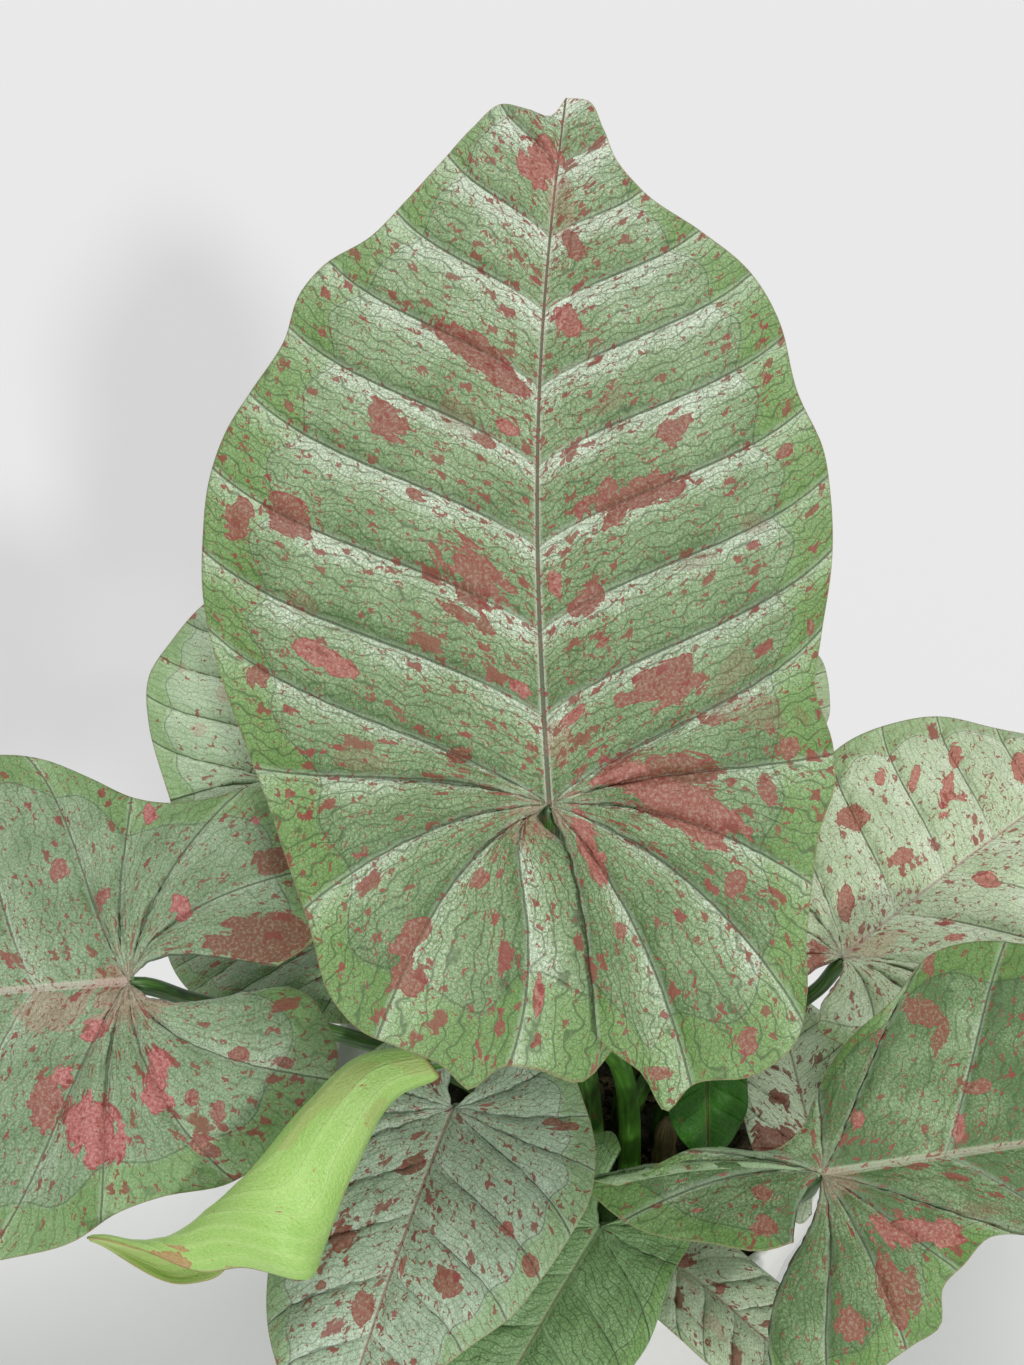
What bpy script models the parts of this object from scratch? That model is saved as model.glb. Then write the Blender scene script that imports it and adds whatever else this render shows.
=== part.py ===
"""A potted arrowhead plant, built leaf by leaf in its plain pot.

Units are metres with +Z up. Leaf sizes are written in millimetres and scaled by MM.
The origin is the centre of the pot's underside, and -Y is the plant's front.
"""

from dataclasses import dataclass
from math import cos, pi, radians, sin

import bmesh
import bpy
import numpy as np
from mathutils import Vector

MM = 0.001
FIT_GAP = 0.0003
MERGE = 0.00001

POT_HEIGHT = 0.095
POT_RIM_RADIUS = 0.051
POT_BASE_RADIUS = 0.0365
POT_WALL = 0.0018
POT_FLOOR = 0.0025
POT_LIP_DEPTH = 0.011
POT_LIP_STEP = 0.0022
POT_LIP_SLOPE = 0.0025
POT_LIP_TAPER = 0.0004
POT_RIM_ROUND = 0.0008
POT_CORNER = 0.001
POT_FOOT = (0.0015, 0.002)
POT_FACETS = 40
DRAIN_HOLES = 6
DRAIN_RADIUS = 0.004
DRAIN_CIRCLE = 0.024

SOIL_EDGE_HEIGHT = 0.081
SOIL_CROWN_HEIGHT = 0.085
SOIL_CROWN = (0.45, 0.0006)
SOIL_SHOULDER = (0.006, 0.001)
SOIL_BASE_STEP = 0.002
SOIL_FACETS = 30
HOLE_SIDES = 10

# Crown stems, in millimetres: rings are (share of the height, share of the radius).
STEM_DEPTH = 0.012
STEM_FEET = ((16.0, -14.5), (0.5, -10.5), (-9.5, -22.5))
STEM_HEIGHTS = (17.0, 14.0, 9.0)
STEM_RADIUS = 2.6
STEM_RINGS = (
    (0.0, 1.0), (0.42, 1.0), (0.50, 0.88), (0.62, 0.95),
    (0.72, 0.80), (0.86, 0.84), (0.94, 0.60), (1.0, 0.28),
)

# The new leaf, in millimetres: each station of its roll is a centre (x, y, z), a radius, and the
# angles in degrees of the sheet's outer and inner edges, from the roll's side to its front.
ROLLED_STATIONS = (
    (-26.8, -47.7, 160.5, 2.9, -80.0, 255.0),
    (-34.1, -49.7, 159.8, 4.0, -80.0, 255.0),
    (-41.7, -56.2, 153.6, 6.0, -80.0, 255.0),
    (-47.8, -63.5, 146.4, 8.1, -70.0, 255.0),
    (-50.6, -67.2, 143.6, 9.0, 10.0, 258.0),
    (-56.3, -68.1, 141.0, 7.0, 58.0, 275.0),
    (-63.5, -68.4, 137.4, 5.0, 74.0, 330.0),
    (-69.9, -67.5, 135.4, 4.4, 135.0, 340.0),
    (-76.0, -65.7, 136.0, 3.0, 145.0, 300.0),
    (-79.6, -64.6, 135.7, 1.9, 158.0, 222.0),
)
ROLLED_SIDE = (0.646, -0.572, -0.505)
ROLLED_FRONT = (0.116, -0.581, 0.806)
ROLLED_TIGHTEN = 0.14
ROLLED_ROWS = 12
ROLLED_WINDS = 11
ROLLED_STALK_FOOT = (9.0, -18.0)
ROLLED_STALK_RADIUS = 1.5
ROLLED_STALK_DEPTH = 3.0
ROLLED_STALK_LEAVE = 0.62

# Blades: the height of the swelling between two veins peaks a third of the way to the next one.
BLADE_THICKNESS = 0.0007
CREST = 1.0 / 3.0
QUILT_FADE = (0.35, 0.75)
WAVE_FULL = 16.0
SIDE_PHASE = 0.25
LIFT_FADE = 0.3
KEEL_SOFT = 0.02
ROW_CROWDING = 0.9

# Veins: the turn in degrees of each cubic's handles at its root and its end, and their length.
FAN_LEAN = (25.0, -22.0)
PAIR_LEAN = (22.0, 24.0)
VEIN_HANDLE = 0.33

# Petioles, in radii or millimetres.
PETIOLE_POINTS = 9
PETIOLE_SWELL = 1.5
PETIOLE_RUN = 4.5
PETIOLE_ARRIVE = (0.5, 0.85)
PETIOLE_UNDER = 0.3
STALK_STRAIGHT = 1.0
STALK_HANDLE = 0.34

OPEN_MOUTH = (40.0, 0.33, -12.0, 0.33)

LEAF_GREEN = (0.36, 0.52, 0.33)
PLAIN_GREEN = (0.22, 0.40, 0.20)
LIME_GREEN = (0.48, 0.72, 0.30)
PETIOLE_GREEN = (0.05, 0.16, 0.03)
STEM_BROWN = (0.20, 0.17, 0.08)
POT_WHITE = (0.80, 0.80, 0.78)
SOIL_DARK = (0.035, 0.028, 0.020)


@dataclass(frozen=True)
class Leaf:
    """One leaf: where its blade joins the petiole, how it faces, and its shape in millimetres.

    heading is the way the tip points over the ground, 0 to the rear (+Y) and 90 to the right (+X).
    pitch lifts the tip above level, and roll lifts the blade's right side.
    right and left are the margins, from the lobe's inner corner to the tip, as (out, along).
    mouth says how the edge of each lobe curves beside the petiole: the turn in degrees and the
    share of its length of the handle at the junction, then of the handle at the corner.
    """

    name: str
    junction: tuple
    heading: float
    pitch: float
    roll: float
    right: tuple
    left: tuple
    foot: tuple
    fan: tuple = (0.40, 0.40)
    mouth: tuple = (OPEN_MOUTH, OPEN_MOUTH)
    sweep: float = 1.0
    bend: tuple = (0.0, 0.0)
    keel: float = 0.10
    droop: float = 0.20
    arch: float = 0.12
    lobe_arch: float = 0.20
    lift: tuple = (0.0, 0.0)
    wave: tuple = (1.2, 4.0, 0.0)
    quilt: float = 0.6
    fans: int = 3
    laterals: int = 4
    rows: int = 3
    colour: tuple = LEAF_GREEN
    stalk: float = 1.2
    leave: float = 0.4
    arrive: tuple = ()
    tip_rows: tuple = (0.3,)

    @property
    def length(self):
        """Junction to tip."""
        return self.right[-1][1]


def arrow(length, width, lobe, splay=24.0, waist=0.06, widest=0.30):
    """A plain arrowhead leaf's side margin: lobe, waist, shoulder and tapering tip."""

    def lobe_point(reach, angle):
        return (reach * sin(radians(angle)), -reach * cos(radians(angle)))

    return (
        lobe_point(0.80 * lobe, splay - 8),
        lobe_point(lobe, splay),
        lobe_point(0.97 * lobe, splay + 22),
        ((0.90 - waist) * width, -0.40 * lobe),
        ((0.96 - waist) * width, 0.04 * length),
        (width, widest * length),
        (0.93 * width, (widest + 0.22) * length),
        (0.70 * width, (0.5 * widest + 0.56) * length),
        (0.36 * width, 0.87 * length),
        (0.10 * width, 0.965 * length),
        (0.0, length),
    )


LEAF_A = Leaf(
    name="leaf_a",
    junction=(-8.0, -35.0, 204.0),
    heading=0.0,
    pitch=38.0,
    roll=0.0,
    right=(
        (6.5, -33.5), (9.5, -36.0), (13.0, -38.5), (16.7, -44.0), (20.0, -40.5), (29.0, -39.0),
        (35.0, -34.5), (37.0, -28.0), (37.2, -20.0), (38.0, -13.0), (39.5, -3.5), (42.0, 3.0),
        (42.3, 9.0), (40.6, 17.5), (42.0, 25.0), (44.4, 38.0), (44.7, 47.0), (44.0, 55.5),
        (40.0, 65.5), (37.0, 76.5), (32.0, 85.5), (24.0, 93.5), (14.0, 101.0), (9.7, 106.0),
        (6.8, 112.5), (3.4, 118.5), (0.0, 119.0),
    ),
    left=(
        (-11.5, -31.0), (-8.5, -36.0), (-4.4, -40.0), (1.4, -38.3), (7.0, -37.8), (12.0, -41.0),
        (15.0, -38.0), (21.3, -35.2), (27.7, -32.4), (31.4, -28.2), (34.7, -18.2), (39.0, -6.6),
        (44.0, 8.0), (49.0, 23.6), (50.8, 33.0), (51.0, 41.0), (50.2, 50.7), (48.0, 58.0),
        (44.6, 64.7), (40.6, 73.0), (38.5, 83.0), (35.7, 87.0), (28.3, 92.0), (24.0, 97.5),
        (18.7, 106.0), (14.7, 113.0), (10.4, 118.0), (6.0, 116.8), (2.2, 115.4), (0.0, 119.0),
    ),
    foot=(2.0, -18.0),
    fan=(0.42, 0.42),
    mouth=((15.0, 0.30, -8.0, 0.35), (87.0, 0.28, 28.0, 0.80)),
    bend=(-2.3, 3.4),
    arch=0.08,
    lift=(1.2, -2.4),
    wave=(1.0, 5.0, 0.3),
    quilt=1.0,
    fans=5,
    laterals=7,
    rows=6,
    stalk=1.6,
    tip_rows=(0.45, 0.22, 0.1),
)
LEAF_B = Leaf(
    name="leaf_b",
    junction=(-79.0, -21.5, 149.5),
    heading=-88.0,
    pitch=-8.0,
    roll=24.0,
    right=(
        (0.8, -26.0), (5.0, -31.5), (12.0, -34.5), (22.0, -33.0), (30.0, -28.0), (33.5, -22.0),
        (32.2, -14.5), (32.2, -7.0), (34.3, 1.5), (38.7, 10.0), (42.7, 19.0), (44.3, 28.0),
        (43.0, 42.0), (37.0, 58.0), (27.0, 73.0), (15.0, 87.0), (4.0, 98.0), (0.0, 101.0),
    ),
    left=(
        (2.0, -27.0), (4.0, -31.0), (8.0, -34.0), (16.3, -36.9), (25.4, -30.7), (31.6, -24.6),
        (34.8, -19.0), (36.9, -8.3), (39.5, -1.0), (43.0, 5.0), (45.0, 17.0), (45.5, 30.0),
        (43.0, 45.0), (37.0, 60.0), (27.0, 74.0), (15.0, 88.0), (4.0, 98.0), (0.0, 101.0),
    ),
    foot=(-7.5, -16.0),
    mouth=((62.0, 0.33, -12.0, 0.33), (55.0, 0.33, -12.0, 0.33)),
    lobe_arch=0.15,
    wave=(1.6, 3.5, 0.1),
    quilt=1.0,
    rows=4,
    stalk=1.4,
    fans=4,
    laterals=5,
)
LEAF_C = Leaf(
    name="leaf_c",
    junction=(48.0, 0.5, 131.0),
    heading=49.0,
    pitch=6.0,
    roll=-8.0,
    right=(
        (4.0, -10.0), (7.0, -14.0), (11.7, -13.5), (18.0, -11.0), (26.0, -6.0), (32.0, 4.0),
        (36.0, 16.0), (38.0, 30.0), (36.0, 46.0), (30.0, 60.0), (20.0, 74.0), (8.0, 85.0),
        (0.0, 90.0),
    ),
    left=(
        (1.0, -24.0), (7.0, -30.5), (17.0, -29.5), (26.0, -20.0), (30.0, -8.0), (31.5, 4.0),
        (32.5, 16.0), (34.0, 28.0), (34.6, 40.0), (31.8, 51.5), (27.0, 63.5), (20.0, 71.0),
        (12.0, 79.0), (4.0, 86.0), (0.0, 90.0),
    ),
    foot=(15.5, -7.5),
    mouth=(OPEN_MOUTH, (20.0, 0.33, -8.0, 0.33)),
    arch=0.15,
    wave=(1.4, 3.0, 0.4),
    quilt=1.0,
    rows=4,
    stalk=1.4,
    fans=4,
    laterals=5,
    leave=0.62,
)
LEAF_D = Leaf(
    name="leaf_d",
    junction=(37.5, -50.0, 134.5),
    heading=82.0,
    pitch=4.0,
    roll=-22.0,
    right=(
        (27.0, -14.0), (33.0, -14.5), (38.0, -10.0), (35.0, -3.0), (31.0, 2.5), (28.5, 8.0),
        (26.5, 12.8), (21.0, 14.5), (17.9, 19.0), (14.0, 25.0), (14.5, 31.0), (18.0, 39.0),
        (20.0, 48.0), (18.0, 60.0), (11.0, 72.0), (3.0, 81.0), (0.0, 84.0),
    ),
    left=(
        (-10.5, -7.5), (-11.0, -12.0), (-8.0, -20.6), (-4.0, -30.6), (1.0, -36.0), (5.8, -39.0),
        (3.6, -33.0), (6.0, -26.0), (7.4, -20.0), (6.0, -13.0), (5.2, -6.5), (8.0, -1.5),
        (13.0, 2.0), (20.0, 8.0), (27.0, 19.0), (34.5, 28.0), (36.0, 38.0), (33.0, 49.0),
        (26.0, 61.0), (14.0, 73.0), (3.0, 82.0), (0.0, 84.0),
    ),
    foot=(16.0, -21.0),
    fan=(0.50, 0.56),
    mouth=((18.0, 0.33, 28.0, 0.42), (34.0, 0.36, -20.0, 0.36)),
    sweep=0.35,
    arch=0.14,
    lift=(-1.5, 1.5),
    wave=(1.3, 3.5, 0.6),
    quilt=0.8,
    fans=6,
    laterals=5,
    rows=4,
    stalk=1.4,
    arrive=(0.12, -0.12, 1.0),
    leave=0.25,
)
LEAF_G = Leaf(
    name="leaf_g",
    junction=(-23.5, -36.0, 134.0),
    heading=198.0,
    pitch=-4.0,
    roll=-4.0,
    right=(
        (3.0, -11.0), (8.0, -14.5), (13.5, -12.5), (17.5, -6.0), (18.5, 4.0), (20.0, 16.0),
        (20.5, 27.0), (19.5, 36.0), (17.0, 43.0), (12.5, 49.5), (6.0, 56.0), (0.0, 61.0),
    ),
    left=(
        (4.0, -10.5), (8.0, -13.5), (13.5, -12.5), (18.0, -11.0), (21.0, -7.0), (25.0, 0.0),
        (27.0, 6.0), (27.7, 12.0), (26.3, 18.0), (23.6, 26.0), (21.0, 33.0), (16.0, 40.0),
        (10.5, 47.0), (4.5, 55.0), (0.0, 61.0),
    ),
    foot=(-3.0, -22.5),
    mouth=(OPEN_MOUTH, OPEN_MOUTH),
    arch=0.15,
    wave=(1.0, 3.0, 0.2),
    quilt=0.7,
    rows=4,
    stalk=1.3,
    fans=4,
    laterals=5,
)
LEAF_E = Leaf(
    name="leaf_e",
    junction=(-55.0, 13.0, 163.0),
    heading=-12.0,
    pitch=34.0,
    roll=8.0,
    right=arrow(44.0, 19.0, 15.0),
    left=arrow(44.0, 22.5, 15.0, widest=0.36),
    foot=(-3.5, -4.5),
    arch=0.10,
    stalk=1.3,
)
LEAF_H = Leaf(
    name="leaf_h",
    junction=(2.0, -43.3, 110.0),
    heading=213.0,
    pitch=-10.0,
    roll=0.0,
    right=arrow(50.0, 18.0, 18.5),
    left=arrow(50.0, 17.5, 20.0),
    foot=(4.0, -26.0),
    arch=0.16,
    colour=PLAIN_GREEN,
)
LEAF_I = Leaf(
    name="leaf_i",
    junction=(15.4, -44.6, 101.0),
    heading=132.0,
    pitch=-3.0,
    roll=4.0,
    right=arrow(33.5, 11.8, 9.5),
    left=arrow(33.5, 10.5, 9.0),
    foot=(10.5, -25.5),
    arch=0.12,
    wave=(0.7, 3.0, 0.5),
)
LEAF_J = Leaf(
    name="leaf_j",
    junction=(42.0, -29.0, 108.0),
    heading=-5.0,
    pitch=8.0,
    roll=0.0,
    right=arrow(44.0, 15.0, 11.0),
    left=arrow(44.0, 12.0, 12.0),
    foot=(22.5, -13.0),
    arch=0.16,
    wave=(1.0, 3.0, 0.0),
)
LEAF_K = Leaf(
    name="leaf_k",
    junction=(22.0, -16.5, 122.0),
    heading=175.0,
    pitch=-62.0,
    roll=0.0,
    right=arrow(21.0, 7.5, 8.0),
    left=arrow(21.0, 7.5, 8.0),
    foot=(9.0, -9.5),
    arch=0.05,
    colour=PLAIN_GREEN,
    leave=0.6,
)
LEAF_L = Leaf(
    name="leaf_l",
    junction=(-22.0, 28.0, 145.0),
    heading=-18.0,
    pitch=8.0,
    roll=4.0,
    right=arrow(84.0, 31.0, 32.0),
    left=arrow(84.0, 30.0, 31.0),
    foot=(2.0, -1.5),
    arch=0.22,
    wave=(1.5, 3.5, 0.3),
    stalk=1.4,
)
LEAF_M = Leaf(
    name="leaf_m",
    junction=(21.0, 30.0, 158.0),
    heading=8.0,
    pitch=-6.0,
    roll=-4.0,
    right=arrow(76.0, 26.0, 26.0),
    left=arrow(76.0, 27.0, 27.0),
    foot=(8.5, -2.0),
    arch=0.22,
    wave=(1.4, 3.5, 0.7),
    stalk=1.4,
)
LEAF_N = Leaf(
    name="leaf_n",
    junction=(-39.0, 10.0, 122.0),
    heading=-62.0,
    pitch=-12.0,
    roll=4.0,
    right=arrow(58.0, 21.0, 20.0),
    left=arrow(58.0, 21.0, 20.0),
    foot=(-7.5, -9.5),
    arch=0.18,
    wave=(1.0, 3.0, 0.9),
)
LEAVES = (
    LEAF_A, LEAF_B, LEAF_C, LEAF_D, LEAF_E, LEAF_G, LEAF_H,
    LEAF_I, LEAF_J, LEAF_K, LEAF_L, LEAF_M, LEAF_N,
)


def through(points, share, spaced=2):
    """Points at the given shares of a smooth curve through a list of points, spaced by the
    distances between them in their first few values."""
    known = np.asarray(points, float)
    steps = np.linalg.norm(np.diff(known[:, :spaced], axis=0), axis=1)
    knots = np.concatenate(([0.0], np.cumsum(steps))) / steps.sum()
    slopes = np.gradient(known, knots, axis=0)
    at = np.clip(np.searchsorted(knots, share, side="right") - 1, 0, len(knots) - 2)
    span = (knots[at + 1] - knots[at])[..., None]
    t = (share - knots[at])[..., None] / span
    start = (1 + 2 * t) * (1 - t) ** 2 * known[at] + t * (1 - t) ** 2 * span * slopes[at]
    end = t * t * (3 - 2 * t) * known[at + 1] - t * t * (1 - t) * span * slopes[at + 1]
    return start + end


def turned(vectors, angles):
    """Plane vectors turned by angles, anticlockwise."""
    x, y = vectors[..., 0], vectors[..., 1]
    c, s = np.cos(angles), np.sin(angles)
    return np.stack([x * c - y * s, x * s + y * c], axis=-1)


def eased(value, start, end):
    """A smooth step from 0 at start to 1 at end."""
    t = np.clip((value - start) / (end - start), 0.0, 1.0)
    return t * t * (3 - 2 * t)


def vein_stations(leaf):
    """Where the main veins lie along s: the fan of the lobe, then the pairs off the midrib."""
    base = fan_share(leaf)
    fan = np.linspace(0.0, base, leaf.fans + 1)
    pairs = base + (1.0 - base) * np.linspace(0.0, 1.0, leaf.laterals + 1)[1:]
    return np.concatenate([fan, pairs])


def fan_share(leaf):
    """The share of s that the lobe's fan of veins takes."""
    return leaf.fans / (leaf.fans + leaf.laterals)


def flat_blade(leaf, hand, s, v):
    """A point of the flat blade, as (out, along): s turns from the sinus to the tip and v runs
    along a vein from its root to the margin. Each vein is a cubic from a root on the midrib,
    or at the junction for the lobe's fan, to its end on the margin, swept towards the tip."""
    margin = leaf.right if hand > 0 else leaf.left
    fan = leaf.fan[0 if hand > 0 else 1]
    mouth = leaf.mouth[0 if hand > 0 else 1]
    base = fan_share(leaf)
    along = np.clip((s - base) / (1 - base), 0, 1)
    end = through(margin, np.where(s < base, fan * s / base, fan + (1 - fan) * along))
    root = np.stack([0 * along, leaf.length * along], axis=-1)
    reach = end - root
    share = np.clip(s / base, 0, 1)
    to_fan, to_pair = eased(share, 0.0, 0.5), leaf.sweep * eased(share, 0.5, 1.0)
    lean_in = mouth[0] + (FAN_LEAN[0] * leaf.sweep - mouth[0]) * to_fan
    lean_out = mouth[2] + (FAN_LEAN[1] * leaf.sweep - mouth[2]) * to_fan
    lean_in = lean_in + (PAIR_LEAN[0] - FAN_LEAN[0]) * to_pair
    lean_out = lean_out + (PAIR_LEAN[1] - FAN_LEAN[1]) * to_pair
    reach_in = mouth[1] + (VEIN_HANDLE - mouth[1]) * to_fan
    reach_out = mouth[3] + (VEIN_HANDLE - mouth[3]) * to_fan
    first = root + turned(reach, np.radians(lean_in)) * reach_in[..., None]
    second = end - turned(reach, np.radians(lean_out)) * reach_out[..., None]
    t = v[..., None]
    place = (1 - t) ** 3 * root + 3 * t * (1 - t) ** 2 * first
    place = place + 3 * t * t * (1 - t) * second + t**3 * end
    return place, np.linalg.norm(reach, axis=-1)


def blade_height(leaf, hand, s, v, x, y, reach):
    """How far the blade rises off its plane: a keel at the midrib, a droop to the sides, an arch
    to the tip and the lobes, a waved margin, and a swelling between each two veins. The wave and
    the swelling die away where the veins are short."""
    size = leaf.length
    soft = KEEL_SOFT * size
    height = leaf.keel * (np.sqrt(x * x + soft * soft) - soft) - leaf.droop * x * x / size
    height = height - np.where(y > 0, leaf.arch, leaf.lobe_arch) * y * y / size
    depth, cycles, phase = leaf.wave
    broad = eased(reach, 1.0, WAVE_FULL)
    turns = cycles * s + phase + SIDE_PHASE * hand
    height = height + broad * depth * v**3 * np.sin(2 * pi * turns)
    lift = leaf.lift[0 if hand > 0 else 1]
    height = height + lift * (1 - eased(s, 0.0, LIFT_FADE)) * np.sqrt(v)
    stations = vein_stations(leaf)
    at = np.clip(np.searchsorted(stations, s, side="right") - 1, 0, len(stations) - 2)
    part = np.clip((s - stations[at]) / (stations[at + 1] - stations[at]), 0, 1)
    swell = np.sqrt(part) * (1 - part) / (np.sqrt(CREST) * (1 - CREST))
    inside = eased(v, 0.0, QUILT_FADE[0]) * (1 - eased(v, QUILT_FADE[1], 1.0))
    return height + broad * leaf.quilt * swell * inside


def leaf_axes(leaf):
    """The leaf's right, tip and upward directions."""
    turn, lift, lean = radians(leaf.heading), radians(leaf.pitch), radians(leaf.roll)
    tip = Vector((sin(turn) * cos(lift), cos(turn) * cos(lift), sin(lift)))
    level = tip.cross(Vector((0, 0, 1))).normalized()
    right = cos(lean) * level + sin(lean) * level.cross(tip)
    return right, tip, right.cross(tip)


def blade_points(leaf, hand, s, v):
    """World places, in metres, of the blade's middle surface."""
    flat, reach = flat_blade(leaf, hand, s, v)
    y = flat[..., 1]
    t = np.clip(y / leaf.length, 0, 1)
    x = hand * flat[..., 0] + leaf.bend[0] * np.sin(pi * t) + leaf.bend[1] * t * t
    z = blade_height(leaf, hand, s, v, hand * flat[..., 0], y, reach)
    right, tip, up = (np.array(axis) for axis in leaf_axes(leaf))
    place = x[..., None] * right + y[..., None] * tip + z[..., None] * up
    return (np.array(leaf.junction) + place) * MM


def leaf_stations(leaf):
    """The rows of the mesh: one on each main vein and one on the swelling after it."""
    veins = vein_stations(leaf)
    crests = veins[:-1] + CREST * np.diff(veins)
    extra = 1.0 - (veins[-1] - veins[-2]) * np.array(leaf.tip_rows)
    return np.sort(np.concatenate([veins, crests, extra]))


def own_object(name, mesh, colour, roughness, collection):
    """An object with its own material, in the plant's collection."""
    thing = bpy.data.objects.new(name, mesh)
    collection.objects.link(thing)
    material = bpy.data.materials.new(name)
    material.use_nodes = True
    shader = material.node_tree.nodes["Principled BSDF"]
    shader.inputs["Base Color"].default_value = (*colour, 1.0)
    shader.inputs["Roughness"].default_value = roughness
    shader.inputs["Metallic"].default_value = 0.0
    mesh.materials.append(material)
    return thing


def add_grid(bm, places, flip):
    """Adds a sheet of triangles over a grid of places, each square split the same way."""
    rows, columns = places.shape[:2]
    verts = [[bm.verts.new(places[i, j]) for j in range(columns)] for i in range(rows)]
    for i in range(rows - 1):
        for j in range(columns - 1):
            a, b, c, d = verts[i][j], verts[i + 1][j], verts[i + 1][j + 1], verts[i][j + 1]
            for corners in ((a, b, c), (a, c, d)):
                bm.faces.new(corners[::-1] if flip else corners)


def thicken(thing, thickness):
    """Gives an open sheet its thickness, half to each side."""
    wall = thing.modifiers.new("thickness", "SOLIDIFY")
    wall.thickness = thickness
    wall.offset = 0.0
    wall.use_even_offset = False


def sheet_mesh(name, grids):
    """One welded sheet from grids of places, with the slivers at a fan's root taken out."""
    bm = bmesh.new()
    for places, flip in grids:
        add_grid(bm, places, flip)
    bmesh.ops.remove_doubles(bm, verts=bm.verts, dist=MERGE)
    bmesh.ops.dissolve_degenerate(bm, edges=bm.edges, dist=MERGE)
    bmesh.ops.triangulate(bm, faces=bm.faces)
    mesh = bpy.data.meshes.new(name)
    bm.to_mesh(mesh)
    bm.free()
    return mesh


def make_blade(leaf, collection):
    """The blade: two halves swept out by the veins and joined along the midrib."""
    stations = leaf_stations(leaf)
    rows = np.linspace(0, 1, leaf.rows + 1) ** ROW_CROWDING
    s, v = np.meshgrid(stations, rows, indexing="ij")
    grids = [(blade_points(leaf, 1, s, v), False), (blade_points(leaf, -1, s, v), True)]
    mesh = sheet_mesh(leaf.name + "_blade", grids)
    mesh.shade_smooth()
    blade = own_object(leaf.name + "_blade", mesh, leaf.colour, 0.5, collection)
    thicken(blade, BLADE_THICKNESS)
    return blade


def rising_line(foot, top, leave, arrive):
    """A stalk's centre line in millimetres: straight up through its hole in the soil, then a
    cubic to the top that leaves upright and arrives along a direction."""
    low = np.array([*foot, (SOIL_CROWN_HEIGHT - STEM_DEPTH) / MM])
    start = np.array([*foot, SOIL_CROWN_HEIGHT / MM + STALK_STRAIGHT])
    rise = np.linalg.norm(top - start)
    first = start + np.array([0.0, 0.0, leave * rise])
    second = top - STALK_HANDLE * rise * np.asarray(arrive) / np.linalg.norm(arrive)
    t = np.linspace(0, 1, PETIOLE_POINTS)[:, None]
    line = (1 - t) ** 3 * start + 3 * t * (1 - t) ** 2 * first
    return np.vstack([low, line + 3 * t * t * (1 - t) * second + t**3 * top])


def petiole_path(leaf):
    """Centre line and radii of a petiole, in millimetres: up out of the soil, over in a curve
    to the junction, and a short way on under the midrib."""
    _, tip, up = (np.array(axis) for axis in leaf_axes(leaf))
    junction = np.array(leaf.junction)
    clear = (0.5 * BLADE_THICKNESS + FIT_GAP) / MM
    slender = 0.5 * leaf.stalk
    top = junction - (clear + leaf.stalk) * up
    end = junction - (clear + slender + PETIOLE_UNDER) * up + PETIOLE_RUN * leaf.stalk * tip
    arrive = leaf.arrive or PETIOLE_ARRIVE[0] * tip + PETIOLE_ARRIVE[1] * up
    line = rising_line(leaf.foot, top, leaf.leave, arrive)
    middle = 0.5 * (top + end) - 0.5 * PETIOLE_UNDER * up
    radii = stalk_radii(leaf.stalk)
    return np.vstack([line, middle, end]), np.append(radii, [1.5 * slender, slender])


def stalk_radii(radius):
    """Radii along a rising line: swollen where it leaves the soil, then slimming to its own."""
    slim = np.linspace(1, 0, PETIOLE_POINTS) ** 2
    radii = radius * (1 + (PETIOLE_SWELL - 1) * slim)
    return np.insert(radii, 0, radii[0])


def make_tube(name, line, radii, colour, collection):
    """A tapered round stalk along a line, with its ends filled."""
    curve = bpy.data.curves.new(name, "CURVE")
    curve.dimensions = "3D"
    curve.bevel_depth = MM
    curve.bevel_resolution = 2
    curve.use_fill_caps = True
    spline = curve.splines.new("POLY")
    spline.points.add(len(line) - 1)
    for point, place, radius in zip(spline.points, line, radii):
        point.co = (*(place * MM), 1.0)
        point.radius = radius
    return own_object(name, curve, colour, 0.45, collection)


def rolled_leaf_points(s, v):
    """World places of the rolled leaf: s runs from its foot to its tip and v round the roll. Each
    station has a centre, a radius, and the angles where the sheet's outer and inner edges lie."""
    known = np.array(ROLLED_STATIONS)
    at = through(known, s, 3)
    wind = np.radians(at[..., 4] + (at[..., 5] - at[..., 4]) * v)
    radius = at[..., 3] * (1 - ROLLED_TIGHTEN * eased(v, 0.6, 1.0))
    side, front = np.array(ROLLED_SIDE), np.array(ROLLED_FRONT)
    place = at[..., :3] + (radius * np.cos(wind))[..., None] * side
    return (place + (radius * np.sin(wind))[..., None] * front) * MM


def make_rolled_leaf(collection):
    """The newest leaf, lime green and still rolled into a loose open cone."""
    s, v = np.meshgrid(
        np.linspace(0, 1, ROLLED_ROWS + 1), np.linspace(0, 1, ROLLED_WINDS + 1), indexing="ij"
    )
    mesh = sheet_mesh("leaf_f_blade", [(rolled_leaf_points(s, v), False)])
    mesh.shade_smooth()
    blade = own_object("leaf_f_blade", mesh, LIME_GREEN, 0.4, collection)
    thicken(blade, BLADE_THICKNESS)


def turned_object(name, profile, facets, colour, roughness, collection):
    """A round body: a profile of (radius, height) that runs from the axis, up the inside, over
    and down the outside back to the axis, turned once about Z."""
    mesh = bpy.data.meshes.new(name)
    edges = [(i, i + 1) for i in range(len(profile) - 1)]
    mesh.from_pydata([(r, 0, z) for r, z in profile], edges, [])
    thing = own_object(name, mesh, colour, roughness, collection)
    turn = thing.modifiers.new("turn", "SCREW")
    turn.steps = facets
    turn.render_steps = facets
    turn.use_merge_vertices = True
    turn.merge_threshold = MERGE
    return thing


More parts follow.
